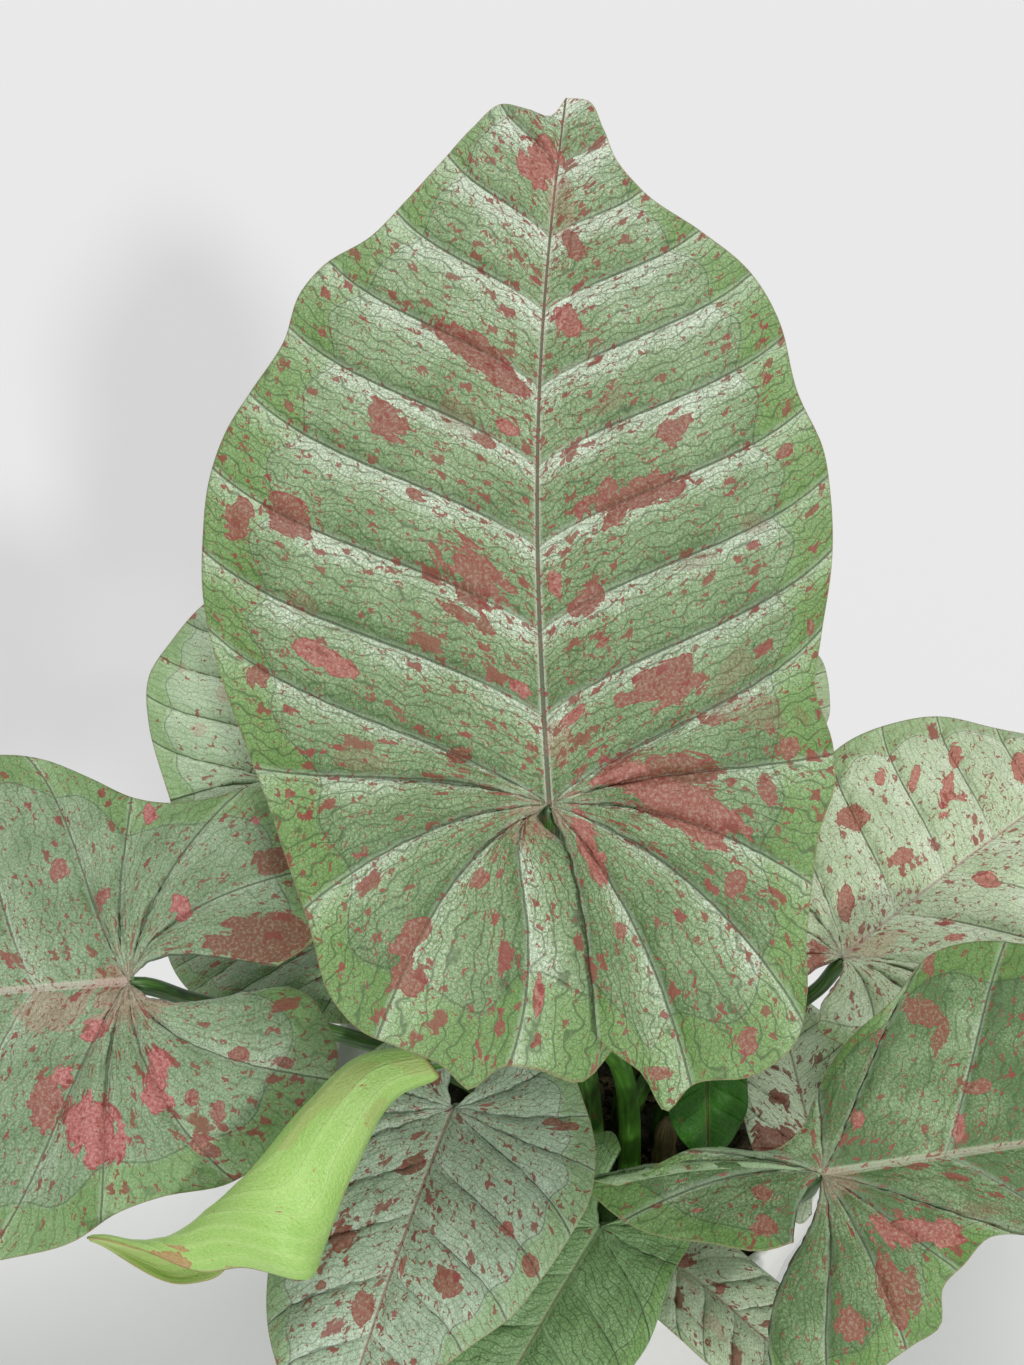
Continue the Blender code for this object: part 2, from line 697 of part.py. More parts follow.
def make_pot(collection, cutters):
    """The pot: a thin tapered cup with a rolled rim and drain holes round a solid middle."""
    outer, base = POT_RIM_RADIUS, POT_BASE_RADIUS
    under_lip = POT_HEIGHT - POT_LIP_DEPTH
    body_top = outer - POT_LIP_STEP
    profile = [
        (0.0, POT_FLOOR),
        (base - POT_WALL - POT_CORNER, POT_FLOOR),
        (base - POT_WALL, POT_FLOOR + POT_CORNER),
        (body_top - POT_WALL, under_lip),
        (outer - POT_WALL - POT_LIP_TAPER, under_lip + POT_LIP_SLOPE),
        (outer - POT_WALL, POT_HEIGHT - POT_RIM_ROUND),
        (outer - 0.5 * POT_WALL, POT_HEIGHT),
        (outer, POT_HEIGHT - POT_RIM_ROUND),
        (outer - POT_LIP_TAPER, under_lip),
        (body_top, under_lip - POT_RIM_ROUND),
        (base, POT_FOOT[1]),
        (base - POT_FOOT[0], 0.0),
        (0.0, 0.0),
    ]
    pot = turned_object("pot", profile, POT_FACETS, POT_WHITE, 0.35, collection)
    for hole in range(DRAIN_HOLES):
        turn = 2 * pi * (hole + 0.5) / DRAIN_HOLES
        place = (DRAIN_CIRCLE * cos(turn), DRAIN_CIRCLE * sin(turn), 0.5 * POT_FLOOR)
        cut(pot, make_peg(f"drain_{hole}", place, DRAIN_RADIUS, 3 * POT_FLOOR, cutters))


def make_peg(name, place, radius, height, cutters):
    """A round peg that cuts a hole."""
    bm = bmesh.new()
    bmesh.ops.create_cone(
        bm, cap_ends=True, segments=HOLE_SIDES, radius1=radius, radius2=radius, depth=height
    )
    mesh = bpy.data.meshes.new(name)
    bm.to_mesh(mesh)
    bm.free()
    peg = bpy.data.objects.new(name, mesh)
    peg.location = place
    peg.hide_render = True
    peg.display_type = "WIRE"
    cutters.objects.link(peg)
    return peg


def cut(thing, tool):
    """Takes a tool's shape out of a piece."""
    step = thing.modifiers.new(tool.name, "BOOLEAN")
    step.operation = "DIFFERENCE"
    step.solver = "EXACT"
    step.object = tool


def soil_radius(height):
    """The soil's outer radius at a height, a fit gap inside the pot's wall."""
    under_lip = POT_HEIGHT - POT_LIP_DEPTH
    share = (height - POT_FLOOR) / (under_lip - POT_FLOOR)
    wall = POT_BASE_RADIUS + (POT_RIM_RADIUS - POT_LIP_STEP - POT_BASE_RADIUS) * share - POT_WALL
    return wall - 2 * FIT_GAP


def make_soil(collection, cutters):
    """The soil: a tapered plug with a low crown, and a plain hole for each stalk and stem."""
    floor = POT_FLOOR + FIT_GAP
    edge = soil_radius(SOIL_EDGE_HEIGHT)
    profile = [
        (0.0, SOIL_CROWN_HEIGHT),
        (SOIL_CROWN[0] * edge, SOIL_CROWN_HEIGHT - SOIL_CROWN[1]),
        (edge - SOIL_SHOULDER[0], SOIL_EDGE_HEIGHT + SOIL_SHOULDER[1]),
        (edge, SOIL_EDGE_HEIGHT),
        (soil_radius(floor) - SOIL_BASE_STEP, floor),
        (0.0, floor),
    ]
    soil = turned_object("soil", profile, SOIL_FACETS, SOIL_DARK, 0.95, collection)
    depth = 2 * STEM_DEPTH
    feet = [(leaf.name, leaf.foot, PETIOLE_SWELL * leaf.stalk) for leaf in LEAVES]
    feet += [("leaf_f", ROLLED_STALK_FOOT, PETIOLE_SWELL * ROLLED_STALK_RADIUS)]
    feet += [(f"stem_{i}", foot, STEM_RADIUS) for i, foot in enumerate(STEM_FEET)]
    for name, (x, y), radius in feet:
        place = (x * MM, y * MM, SOIL_CROWN_HEIGHT + 0.5 * depth - STEM_DEPTH - FIT_GAP)
        cut(soil, make_peg(name + "_hole", place, radius * MM + 2 * FIT_GAP, depth, cutters))


def make_stems(collection):
    """Short crown stems with the rings that old leaves left."""
    low = (SOIL_CROWN_HEIGHT - STEM_DEPTH) / MM
    for index, ((x, y), tall) in enumerate(zip(STEM_FEET, STEM_HEIGHTS)):
        reach = STEM_DEPTH / MM + tall
        line = np.array([(x, y, low + share * reach) for share, _ in STEM_RINGS])
        radii = np.array([STEM_RADIUS * wide for _, wide in STEM_RINGS])
        make_tube(f"stem_{index + 1}", line, radii, STEM_BROWN, collection)


def make_rolled_stalk(collection):
    """The rolled leaf's petiole: up from the soil, over in a bow, and into the foot of the roll."""
    ahead = np.array(ROLLED_STATIONS[1][:3]) - np.array(ROLLED_STATIONS[0][:3])
    ahead /= np.linalg.norm(ahead)
    top = np.array(ROLLED_STATIONS[0][:3]) + ROLLED_STALK_DEPTH * ahead
    line = rising_line(ROLLED_STALK_FOOT, top, ROLLED_STALK_LEAVE, ahead)
    make_tube("leaf_f_petiole", line, stalk_radii(ROLLED_STALK_RADIUS), LIME_GREEN, collection)


def main():
    """Clears the scene and builds the plant."""
    for thing in list(bpy.data.objects):
        bpy.data.objects.remove(thing)
    plant = bpy.data.collections.new("arrowhead_plant")
    cutters = bpy.data.collections.new("cutters")
    for collection in (plant, cutters):
        bpy.context.scene.collection.children.link(collection)
    make_pot(plant, cutters)
    make_soil(plant, cutters)
    make_stems(plant)
    for leaf in LEAVES:
        make_blade(leaf, plant)
        line, radii = petiole_path(leaf)
        make_tube(leaf.name + "_petiole", line, radii, PETIOLE_GREEN, plant)
    make_rolled_leaf(plant)
    make_rolled_stalk(plant)


main()
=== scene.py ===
"""The looks of a potted arrowhead plant, dressed leaf by leaf around its solids.

Every blade is a surface swept out by its own veins, with a skin above and below. Its marks are
placed on that surface and its net of veinlets, specks and mosaic follow the veins.
"""

from __future__ import annotations

import logging
from dataclasses import dataclass, field
from enum import Enum
from functools import cache

import bmesh
import bpy
import numpy as np
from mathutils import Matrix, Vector

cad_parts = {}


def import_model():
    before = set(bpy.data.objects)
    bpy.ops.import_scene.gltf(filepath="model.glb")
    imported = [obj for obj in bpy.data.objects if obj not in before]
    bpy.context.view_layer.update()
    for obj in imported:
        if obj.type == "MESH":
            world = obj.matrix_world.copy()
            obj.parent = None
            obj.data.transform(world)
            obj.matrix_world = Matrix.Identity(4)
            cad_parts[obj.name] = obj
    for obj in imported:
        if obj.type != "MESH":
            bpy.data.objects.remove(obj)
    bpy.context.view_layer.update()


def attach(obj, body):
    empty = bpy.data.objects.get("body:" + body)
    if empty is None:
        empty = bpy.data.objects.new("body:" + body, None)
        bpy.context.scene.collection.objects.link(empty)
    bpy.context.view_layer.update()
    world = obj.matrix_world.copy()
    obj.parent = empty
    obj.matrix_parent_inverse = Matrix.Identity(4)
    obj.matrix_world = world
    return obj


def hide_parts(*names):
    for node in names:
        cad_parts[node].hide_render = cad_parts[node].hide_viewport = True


MM = 0.001
WELD = 1e-8
CIRCLE = 2 * np.pi
log = logging.getLogger("arrowhead_plant")

Array = np.ndarray
Material = bpy.types.Material
Socket = bpy.types.NodeSocket
Tree = bpy.types.NodeTree
Value = "float | tuple | Socket"


class Hand(Enum):
    """The two halves of a blade, seen from above with the tip ahead."""

    RIGHT = 1
    LEFT = -1

    @property
    def index(self) -> int:
        """Where a pair of sizes, right then left, holds this half's."""
        return 0 if self is Hand.RIGHT else 1


class Hue(Enum):
    """What a mark on a blade is coloured: how rosy it is, and how much of it is only a tint."""

    BROWN = (0.0, 0.0)
    RUST = (0.25, 0.0)
    ROSE = (0.80, 0.0)
    SALMON = (0.55, 0.0)
    TAN = (0.0, 1.0)
    FLUSH = (1.0, 1.0)


def paint(colour: Value) -> Value:
    """A linear colour from the 0 to 255 values that a screen shows, by the screen's own curve.

    Args:
        colour: Red, green and blue screen values, or a socket.

    Returns:
        Linear red, green and blue and an alpha of one, or the same socket.
    """
    if isinstance(colour, Socket):
        return colour
    shown = np.array(colour) / 255.0
    linear = np.where(shown <= 0.04045, shown / 12.92, ((shown + 0.055) / 1.055) ** 2.4)
    return (*map(float, linear), 1.0)


class Picture:
    """The camera of the photograph: where it stands, how it looks down, and its frame."""

    WIDTH, HEIGHT = 1024, 1365
    PLACE = np.array([-0.0135, -0.237, 0.397])
    TILT = np.radians(50.0)
    LENS, SENSOR = 50.0, 36.0
    NEAREST = 0.01

    @classmethod
    def pixels(cls, places: Array) -> Array:
        """Where places show in the picture: their offset from the camera, turned by its tilt about
        X, then divided by depth and scaled by the lens.

        Args:
            places: World places, (..., 3), in metres.

        Returns:
            Pixel columns and rows, (..., 2).
        """
        offset = places - cls.PLACE
        c, s = np.cos(cls.TILT), np.sin(cls.TILT)
        rise = offset[..., 1] * c + offset[..., 2] * s
        depth = offset[..., 1] * s - offset[..., 2] * c
        reach = cls.LENS / cls.SENSOR * cls.HEIGHT / depth
        across = cls.WIDTH / 2 + offset[..., 0] * reach
        down = cls.HEIGHT / 2 - rise * reach
        return np.stack([across, down], axis=-1)

    @classmethod
    def make(cls) -> None:
        """Puts the camera in the scene."""
        data = bpy.data.cameras.new("camera")
        data.lens = cls.LENS
        data.sensor_width = cls.SENSOR
        data.clip_start = cls.NEAREST
        camera = bpy.data.objects.new("camera", data)
        camera.location = cls.PLACE
        camera.rotation_euler = (cls.TILT, 0.0, 0.0)
        bpy.context.scene.collection.objects.link(camera)
        bpy.context.scene.camera = camera


def through(points: tuple, share: Array, spaced: int = 2) -> Array:
    """A smooth curve through points: between each two it is the cubic that keeps the slopes found
    by central differences.

    Args:
        points: The points in order, each a tuple of values.
        share: Shares of the curve's length, from 0 to 1.
        spaced: How many of a point's first values count as its place.

    Returns:
        The curve's values at those shares.
    """
    known = np.asarray(points, float)
    steps = np.linalg.norm(np.diff(known[:, :spaced], axis=0), axis=1)
    knots = np.concatenate(([0.0], np.cumsum(steps))) / steps.sum()
    slopes = np.gradient(known, knots, axis=0)
    at = np.clip(np.searchsorted(knots, share, side="right") - 1, 0, len(knots) - 2)
    span = (knots[at + 1] - knots[at])[..., None]
    t = (share - knots[at])[..., None] / span
    start = (1 + 2 * t) * (1 - t) ** 2 * known[at] + t * (1 - t) ** 2 * span * slopes[at]
    end = t * t * (3 - 2 * t) * known[at + 1] - t * t * (1 - t) * span * slopes[at + 1]
    return start + end


def cubic(start: Array, first: Array, second: Array, end: Array, t: Array) -> Array:
    """A Bezier curve at shares t, a column: an end, two handles and an end by the cubic's terms."""
    line = (1 - t) ** 3 * start + 3 * t * (1 - t) ** 2 * first
    return line + 3 * t * t * (1 - t) * second + t**3 * end


def turned(vectors: Array, angles: Array) -> Array:
    """Plane vectors turned anticlockwise: the rotation by each angle.

    Args:
        vectors: The vectors, (..., 2).
        angles: Angles in radians.

    Returns:
        The turned vectors.
    """
    x, y = vectors[..., 0], vectors[..., 1]
    c, s = np.cos(angles), np.sin(angles)
    return np.stack([x * c - y * s, x * s + y * c], axis=-1)


def eased(value: Array, start: float, end: float) -> Array:
    """A smooth step, 3t² - 2t³, from 0 at start to 1 at end."""
    t = np.clip((value - start) / (end - start), 0.0, 1.0)
    return t * t * (3 - 2 * t)


def unit(vectors: Array) -> Array:
    """Vectors divided by their lengths, with none shorter than a billionth."""
    return vectors / np.maximum(np.linalg.norm(vectors, axis=-1, keepdims=True), 1e-9)


def bunched(steps: int, draw: float) -> Array:
    """Shares from 0 to 1 that lie closer at both ends: even ones mixed with a cosine's."""
    even = np.linspace(0, 1, steps + 1)
    return (1 - draw) * even + draw * (0.5 - 0.5 * np.cos(np.pi * even))


def shuffled(cells: Array, seed: int) -> Array:
    """Two values from 0 to 1 for each whole-numbered cell: the fraction of a large sine.

    Args:
        cells: The cells, (..., 2).
        seed: Which pattern.

    Returns:
        The values, (..., 2).
    """
    a = np.sin(cells[..., 0] * 127.1 + cells[..., 1] * 311.7 + seed * 17.3) * 43758.5453
    b = np.sin(cells[..., 0] * 269.5 + cells[..., 1] * 183.3 + seed * 9.1) * 24634.6345
    return np.stack([a - np.floor(a), b - np.floor(b)], axis=-1)


def pillows(place: Array, size: float, seed: int) -> Array:
    """Low pillows over a plane: the distance to the second nearest point of a jittered grid less
    that to the nearest, so it is 0 on the net between cells and near 1 inside them.

    Args:
        place: Places in the plane, (..., 2).
        size: The grid's step, in the same units.
        seed: Which pattern.

    Returns:
        Heights from 0 to about 1.
    """
    jitter = 0.7
    scaled = place / size
    home = np.floor(scaled)
    near = np.full(scaled.shape[:-1], 9.0)
    second = near.copy()
    for step in np.ndindex(3, 3):
        cell = home + np.array(step) - 1
        point = cell + 0.5 * (1 - jitter) + jitter * shuffled(cell, seed)
        gap = np.linalg.norm(point - scaled, axis=-1)
        second = np.minimum(second, np.maximum(near, gap))
        near = np.minimum(near, gap)
    return eased(second - near, 0.0, jitter)


def swells(place: Array, size: float, seed: int) -> Array:
    """Gentle rolling relief: the mean of six plane waves of random heading and length near size.

    Args:
        place: Places, (..., 2) or (..., 3).
        size: The waves' length, in the same units.
        seed: Which pattern.

    Returns:
        Heights from -1 to 1.
    """
    waves = 6
    draw = np.random.default_rng(seed)
    headings = unit(draw.normal(size=(waves, place.shape[-1])))
    lengths = size * draw.uniform(0.7, 1.5, waves)
    phases = draw.uniform(0, CIRCLE, waves)
    return np.sin(place @ headings.T / lengths * CIRCLE + phases).mean(axis=-1)


@dataclass
class Skin:
    """A mesh in the making: places in metres, triangles, and values at the triangles' corners."""

    places: Array
    triangles: Array
    corners: dict[str, Array] = field(default_factory=dict)
    maps: dict[str, Array] = field(default_factory=dict)

    def dress(
        self, name: str, node: str, material: Material, slot: str, crease: float | None = None
    ) -> None:
        """Turns the arrays into a smooth piece, puts it in its solid's place and reports it.

        Args:
            name: The piece's name.
            node: The solid that it replaces, or an empty name.
            material: Its finish.
            slot: Not used.
            crease: The angle in degrees past which its edges are sharp, where any are.
        """
        mesh = bpy.data.meshes.new(name)
        mesh.from_pydata(self.places.tolist(), [], self.triangles.tolist())
        for label, values in self.maps.items():
            layer = mesh.uv_layers.new(name=label)
            layer.uv.foreach_set("vector", values.astype(np.float32).ravel())
        for label, values in self.corners.items():
            layer = mesh.attributes.new(label, "FLOAT_VECTOR", "CORNER")
            layer.data.foreach_set("vector", values.astype(np.float32).ravel())
        mesh.shade_smooth()
        mesh.update()
        if crease is not None:
            soften(mesh, crease)
        mesh.materials.append(material)
        piece = bpy.data.objects.new(name, mesh)
        bpy.context.scene.collection.objects.link(piece)
        if node:
            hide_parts(node)
        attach(piece, "root")
        low, high = np.array(piece.bound_box)[[0, 6]]
        log.info("%s: %d faces, %.0f x %.0f x %.0f mm", name, len(mesh.polygons), *(high - low) / MM)


def soften(mesh: bpy.types.Mesh, angle: float) -> None:
    """Turns the faces outward and keeps the edges sharp where they meet at more than an angle.

    Args:
        mesh: The mesh.
        angle: The angle, in degrees.
    """
    work = bmesh.new()
    work.from_mesh(mesh)
    bmesh.ops.recalc_face_normals(work, faces=work.faces)
    for edge in work.edges:
        if len(edge.link_faces) == 2:
            edge.smooth = bool(edge.calc_face_angle(0.0) < np.radians(angle))
    work.to_mesh(mesh)
    work.free()


def sheet_triangles(rows: int, columns: int) -> Array:
    """Two triangles for each square of a grid, as indices into its places taken row by row.

    Args:
        rows, columns: The grid's size, in places.

    Returns:
        The triangles, (n, 3).
    """
    first = np.arange(rows - 1)[:, None] * columns + np.arange(columns - 1)
    a, b = first.ravel(), (first + columns).ravel()
    return np.concatenate([np.stack([a, a + 1, b + 1], 1), np.stack([a, b + 1, b], 1)])


def welded(places: Array, triangles: Array) -> tuple[Array, Array, Array]:
    """Joins places that lie together and drops the triangles that this flattens.

    Args:
        places: Places in metres, (n, 3).
        triangles: Triangles over them, (m, 3).

    Returns:
        The places kept, each old place's new index, and which triangles are left.
    """
    grain = np.round(places / WELD).astype(np.int64)
    _, first, joined = np.unique(grain, axis=0, return_index=True, return_inverse=True)
    joined = joined.ravel()
    now = joined[triangles]
    whole = (now[:, 0] != now[:, 1]) & (now[:, 1] != now[:, 2]) & (now[:, 2] != now[:, 0])
    return places[first], joined, whole


def vertex_normals(places: Array, triangles: Array) -> Array:
    """Unit normals at the places: the sum of the cross products of the triangles round each.

    Args:
        places: Places, (n, 3).
        triangles: Triangles over them, (m, 3).

    Returns:
        The normals, (n, 3).
    """
    a, b, c = (places[triangles[:, k]] for k in range(3))
    cross = np.cross(b - a, c - a)
    normals = np.zeros_like(places)
    for k in range(3):
        np.add.at(normals, triangles[:, k], cross)
    return unit(normals)


@dataclass
class Sheet:
    """A thin sheet over one or more grids: its places, and what its corners carry.

    edges holds the pairs of grid indices along the sheet's rim, with its inside on their left.
    """

    places: Array
    triangles: Array
    edges: Array
    above: Array
    below: Array
    carried: dict[str, Array]
    maps: dict[str, Array]

    def skin(self) -> Skin:
        """Two skins, set off along the normals by above and below, and joined round the rim.

        Returns:
            The closed mesh, with a last corner value "face" whose first number is 0 on the upper
            skin and the rim and 1 below.
        """
        kept, joined, whole = welded(self.places, self.triangles)
        flat = self.triangles[whole]
        normals = vertex_normals(kept, joined[flat])
        first = np.zeros(len(kept), int)
        first[joined] = np.arange(len(joined))
        upper = kept + normals * self.above[first][:, None]
        lower = kept - normals * self.below[first][:, None]
        p, q = self.edges[joined[self.edges[:, 0]] != joined[self.edges[:, 1]]].T
        low = joined + len(kept)
        rim = np.concatenate([
            np.stack([joined[p], low[p], low[q]], 1),
            np.stack([joined[p], low[q], joined[q]], 1),
        ])
        rim_from = np.concatenate([np.stack([p, p, q], 1), np.stack([p, q, q], 1)])
        triangles = np.concatenate([joined[flat], low[flat][:, ::-1], rim])
        source = np.concatenate([flat, flat[:, ::-1], rim_from]).ravel()
        under = np.repeat([0.0, 1.0, 0.0], [len(flat), len(flat), len(rim)])
        corners = {label: values[source] for label, values in self.carried.items()}
        corners["face"] = np.repeat(under, 3)[:, None] * np.array([1.0, 0.0, 0.0])
        maps = {label: values[source] for label, values in self.maps.items()}
        return Skin(np.concatenate([upper, lower]), triangles, corners, maps)


def sheet_edges(rows: int, columns: int, closed_sides: str) -> Array:
    """The rim of a grid as pairs of indices, with the inside on the left.

    Args:
        rows, columns: The grid's size. Its triangles face up where columns run to the right.
        closed_sides: Letters of the sides to list: b for the first row, r for the last column,
            t for the last row and l for the first column.

    Returns:
        Pairs of indices, (n, 2).
    """
    grid = np.arange(rows * columns).reshape(rows, columns)
    runs = {"b": grid[0], "r": grid[:, -1], "t": grid[-1, ::-1], "l": grid[::-1, 0]}
    return np.concatenate([np.stack([runs[k][:-1], runs[k][1:]], 1) for k in closed_sides])


def lathe(radii: Array, heights: Array, segments: int) -> Array:
    """A profile turned once about Z.

    Args:
        radii, heights: The profile, in metres.
        segments: Steps round the axis.

    Returns:
        Places, (profile, segments + 1, 3). The last column repeats the first.
    """
    turn = np.arange(segments + 1) % segments * CIRCLE / segments
    x = radii[:, None] * np.cos(turn)
    y = radii[:, None] * np.sin(turn)
    return np.stack([x, y, np.broadcast_to(heights[:, None], x.shape)], axis=-1)


def closed(places: Array, triangles: Array, corners: dict[str, Array] | None = None) -> Skin:
    """A closed surface whose seams and poles meet, because places that lie together are joined.

    Args:
        places: Places in metres, (n, 3).
        triangles: Triangles over them, (m, 3).
        corners: Values at the places, each (n, 3).

    Returns:
        The welded mesh.
    """
    kept, joined, whole = welded(places, triangles)
    source = triangles[whole]
    carried = {label: values[source.ravel()] for label, values in (corners or {}).items()}
    return Skin(kept, joined[source], carried)


class Wiring:
    """Adds shader nodes to one tree and joins them. A value given as a socket is linked, and a
    plain number, colour or vector is set on the input."""

    def __init__(self, tree: Tree, space: str = "2D") -> None:
        """Takes the tree to work in, and whether its textures are flat or solid."""
        self.tree = tree
        self.space = space

    def feed(self, socket: Socket, value: Value) -> None:
        """Links a socket into an input, or sets a plain value on it.

        Args:
            socket: The input.
            value: What it gets.
        """
        if isinstance(value, Socket):
            self.tree.links.new(value, socket)
        else:
            socket.default_value = value

    def node(self, kind: str, fed: dict, **settings: object) -> bpy.types.Node:
        """A new node with its settings made and its inputs fed.

        Args:
            kind: The kind of node.
            fed: Values by the inputs' names or numbers.
            settings: The node's own settings.

        Returns:
            The node.
        """
        made = self.tree.nodes.new(kind)
        for key, value in settings.items():
            setattr(made, key, value)
        for key, value in fed.items():
            self.feed(made.inputs[key], value)
        return made

    def math(self, kind: str, *given: Value) -> Socket:
        """A math node over up to three numbers."""
        return self.node("ShaderNodeMath", dict(enumerate(given)), operation=kind).outputs[0]

    def times(self, a: Value, b: Value) -> Socket:
        """One number times another."""
        return self.math("MULTIPLY", a, b)

    def line(self, value: Value, slope: Value, base: Value) -> Socket:
        """A number times a slope, plus a base."""
        return self.math("MULTIPLY_ADD", value, slope, base)

    def most(self, a: Value, b: Value) -> Socket:
        """The larger of two numbers."""
        return self.math("MAXIMUM", a, b)

    def scaled(self, vector: Value, factors: tuple[float, float, float]) -> Socket:
        """A vector stretched along each axis."""
        fed = {0: vector, 1: factors}
        return self.node("ShaderNodeVectorMath", fed, operation="MULTIPLY").outputs[0]

    def parts(self, vector: Value) -> list[Socket]:
        """The three numbers of a vector."""
        return list(self.node("ShaderNodeSeparateXYZ", {0: vector}).outputs)

    def span(self, value: Value, start: Value, end: Value) -> Socket:
        """A smooth step from 0 at start to 1 at end, which may lie below start."""
        fed = {"Value": value, "From Min": start, "From Max": end}
        return self.node("ShaderNodeMapRange", fed, interpolation_type="SMOOTHSTEP").outputs[0]

    def mix(self, share: Value, a: Value, b: Value) -> Socket:
        """Two colours mixed, from a at 0 to b at 1. A plain colour is one of screen values."""
        fed = {0: share, 6: paint(a), 7: paint(b)}
        return self.node("ShaderNodeMix", fed, data_type="RGBA").outputs[2]

    def noise(self, vector: Value, scale: float, detail: float = 2.0, rough: float = 0.5) -> Socket:
        """Fractal noise, from 0 to 1."""
        fed = {"Vector": vector, "Scale": scale, "Detail": detail, "Roughness": rough}
        return self.node("ShaderNodeTexNoise", fed, noise_dimensions=self.space).outputs["Fac"]

    def drift(self, vector: Value, scale: float, share: float) -> Socket:
        """A vector moved about by soft noise: a share of the noise's colour is added to it.

        Args:
            vector: The vector.
            scale: The noise's scale.
            share: How much of the noise is added, along each axis.

        Returns:
            The moved vector.
        """
        fed = {"Vector": vector, "Scale": scale, "Detail": 0.0}
        noise = self.node("ShaderNodeTexNoise", fed, noise_dimensions=self.space)
        fed = {0: noise.outputs["Color"], 1: (share, share, share), 2: vector}
        return self.node("ShaderNodeVectorMath", fed, operation="MULTIPLY_ADD").outputs[0]

    def cells(
        self, vector: Value, scale: Value, feature: str = "F1", shape: str = "EUCLIDEAN"
    ) -> tuple[Socket, Socket | None]:
        """A field of cells: the distance to the nearest one's middle or edge, and its colour.

        Args:
            vector, scale: Where, and how many to a unit.
            feature, shape: Which distance, and how it is measured.

        Returns:
            The distance, and the colour where there is one.
        """
        settings = {"feature": feature, "voronoi_dimensions": self.space, "distance": shape}
        made = self.node("ShaderNodeTexVoronoi", {"Vector": vector, "Scale": scale}, **settings)
        return made.outputs["Distance"], made.outputs.get("Color")

    def attribute(self, name: str) -> Socket:
        """A vector stored at the mesh's corners."""
        return self.node("ShaderNodeAttribute", {}, attribute_name=name).outputs["Vector"]

    def use(self, group: Tree, **given: Value) -> bpy.types.NodeOutputs:
        """Puts a group in the tree, with its inputs fed, and gives its outputs."""
        return self.node("ShaderNodeGroup", given, node_tree=group).outputs


class Effect(Wiring):
    """A node group in the making, with its inputs by name. All its outputs are numbers."""

    def __init__(self, name: str, vectors: tuple[str, ...], numbers: tuple[str, ...]) -> None:
        """Makes the group and its inputs, the vectors first.

        Args:
            name: The group's name.
            vectors, numbers: Its inputs' names.
        """
        super().__init__(bpy.data.node_groups.new(name, "ShaderNodeTree"))
        for names, kind in ((vectors, "NodeSocketVector"), (numbers, "NodeSocketFloat")):
            for label in names:
                self.tree.interface.new_socket(label, in_out="INPUT", socket_type=kind)
        self.given = self.node("NodeGroupInput", {}).outputs

    def give(self, **values: Value) -> Tree:
        """Adds an output for each value.

        Args:
            values: The outputs by name.

        Returns:
            The finished group.
        """
        for label in values:
            self.tree.interface.new_socket(label, in_out="OUTPUT", socket_type="NodeSocketFloat")
        self.node("NodeGroupOutput", values)
        return self.tree


class Coat(Wiring):
    """The wiring of one material, up to its Principled shader."""

    def __init__(self, name: str, space: str = "2D") -> None:
        """Makes the material.

        Args:
            name: Its name.
            space: Whether its textures are flat or solid.
        """
        self.material = bpy.data.materials.new(name)
        self.material.use_nodes = True
        super().__init__(self.material.node_tree, space)
        self.shader = self.tree.nodes["Principled BSDF"]

    def finish(
        self, colour: Value, roughness: Value, height: Value, bump: tuple[float, float]
    ) -> Material:
        """Feeds the shader.

        Args:
            colour, roughness: What the surface shows.
            height: Its fine relief, from 0 to 1.
            bump: The relief's strength, and its depth in metres.

        Returns:
            The finished material.
        """
        fed = {"Height": height, "Strength": bump[0], "Distance": bump[1]}
        normal = self.node("ShaderNodeBump", fed).outputs[0]
        ends = {"Base Color": colour, "Roughness": roughness, "Normal": normal}
        for name, value in ends.items():
            self.feed(self.shader.inputs[name], value)
        return self.material


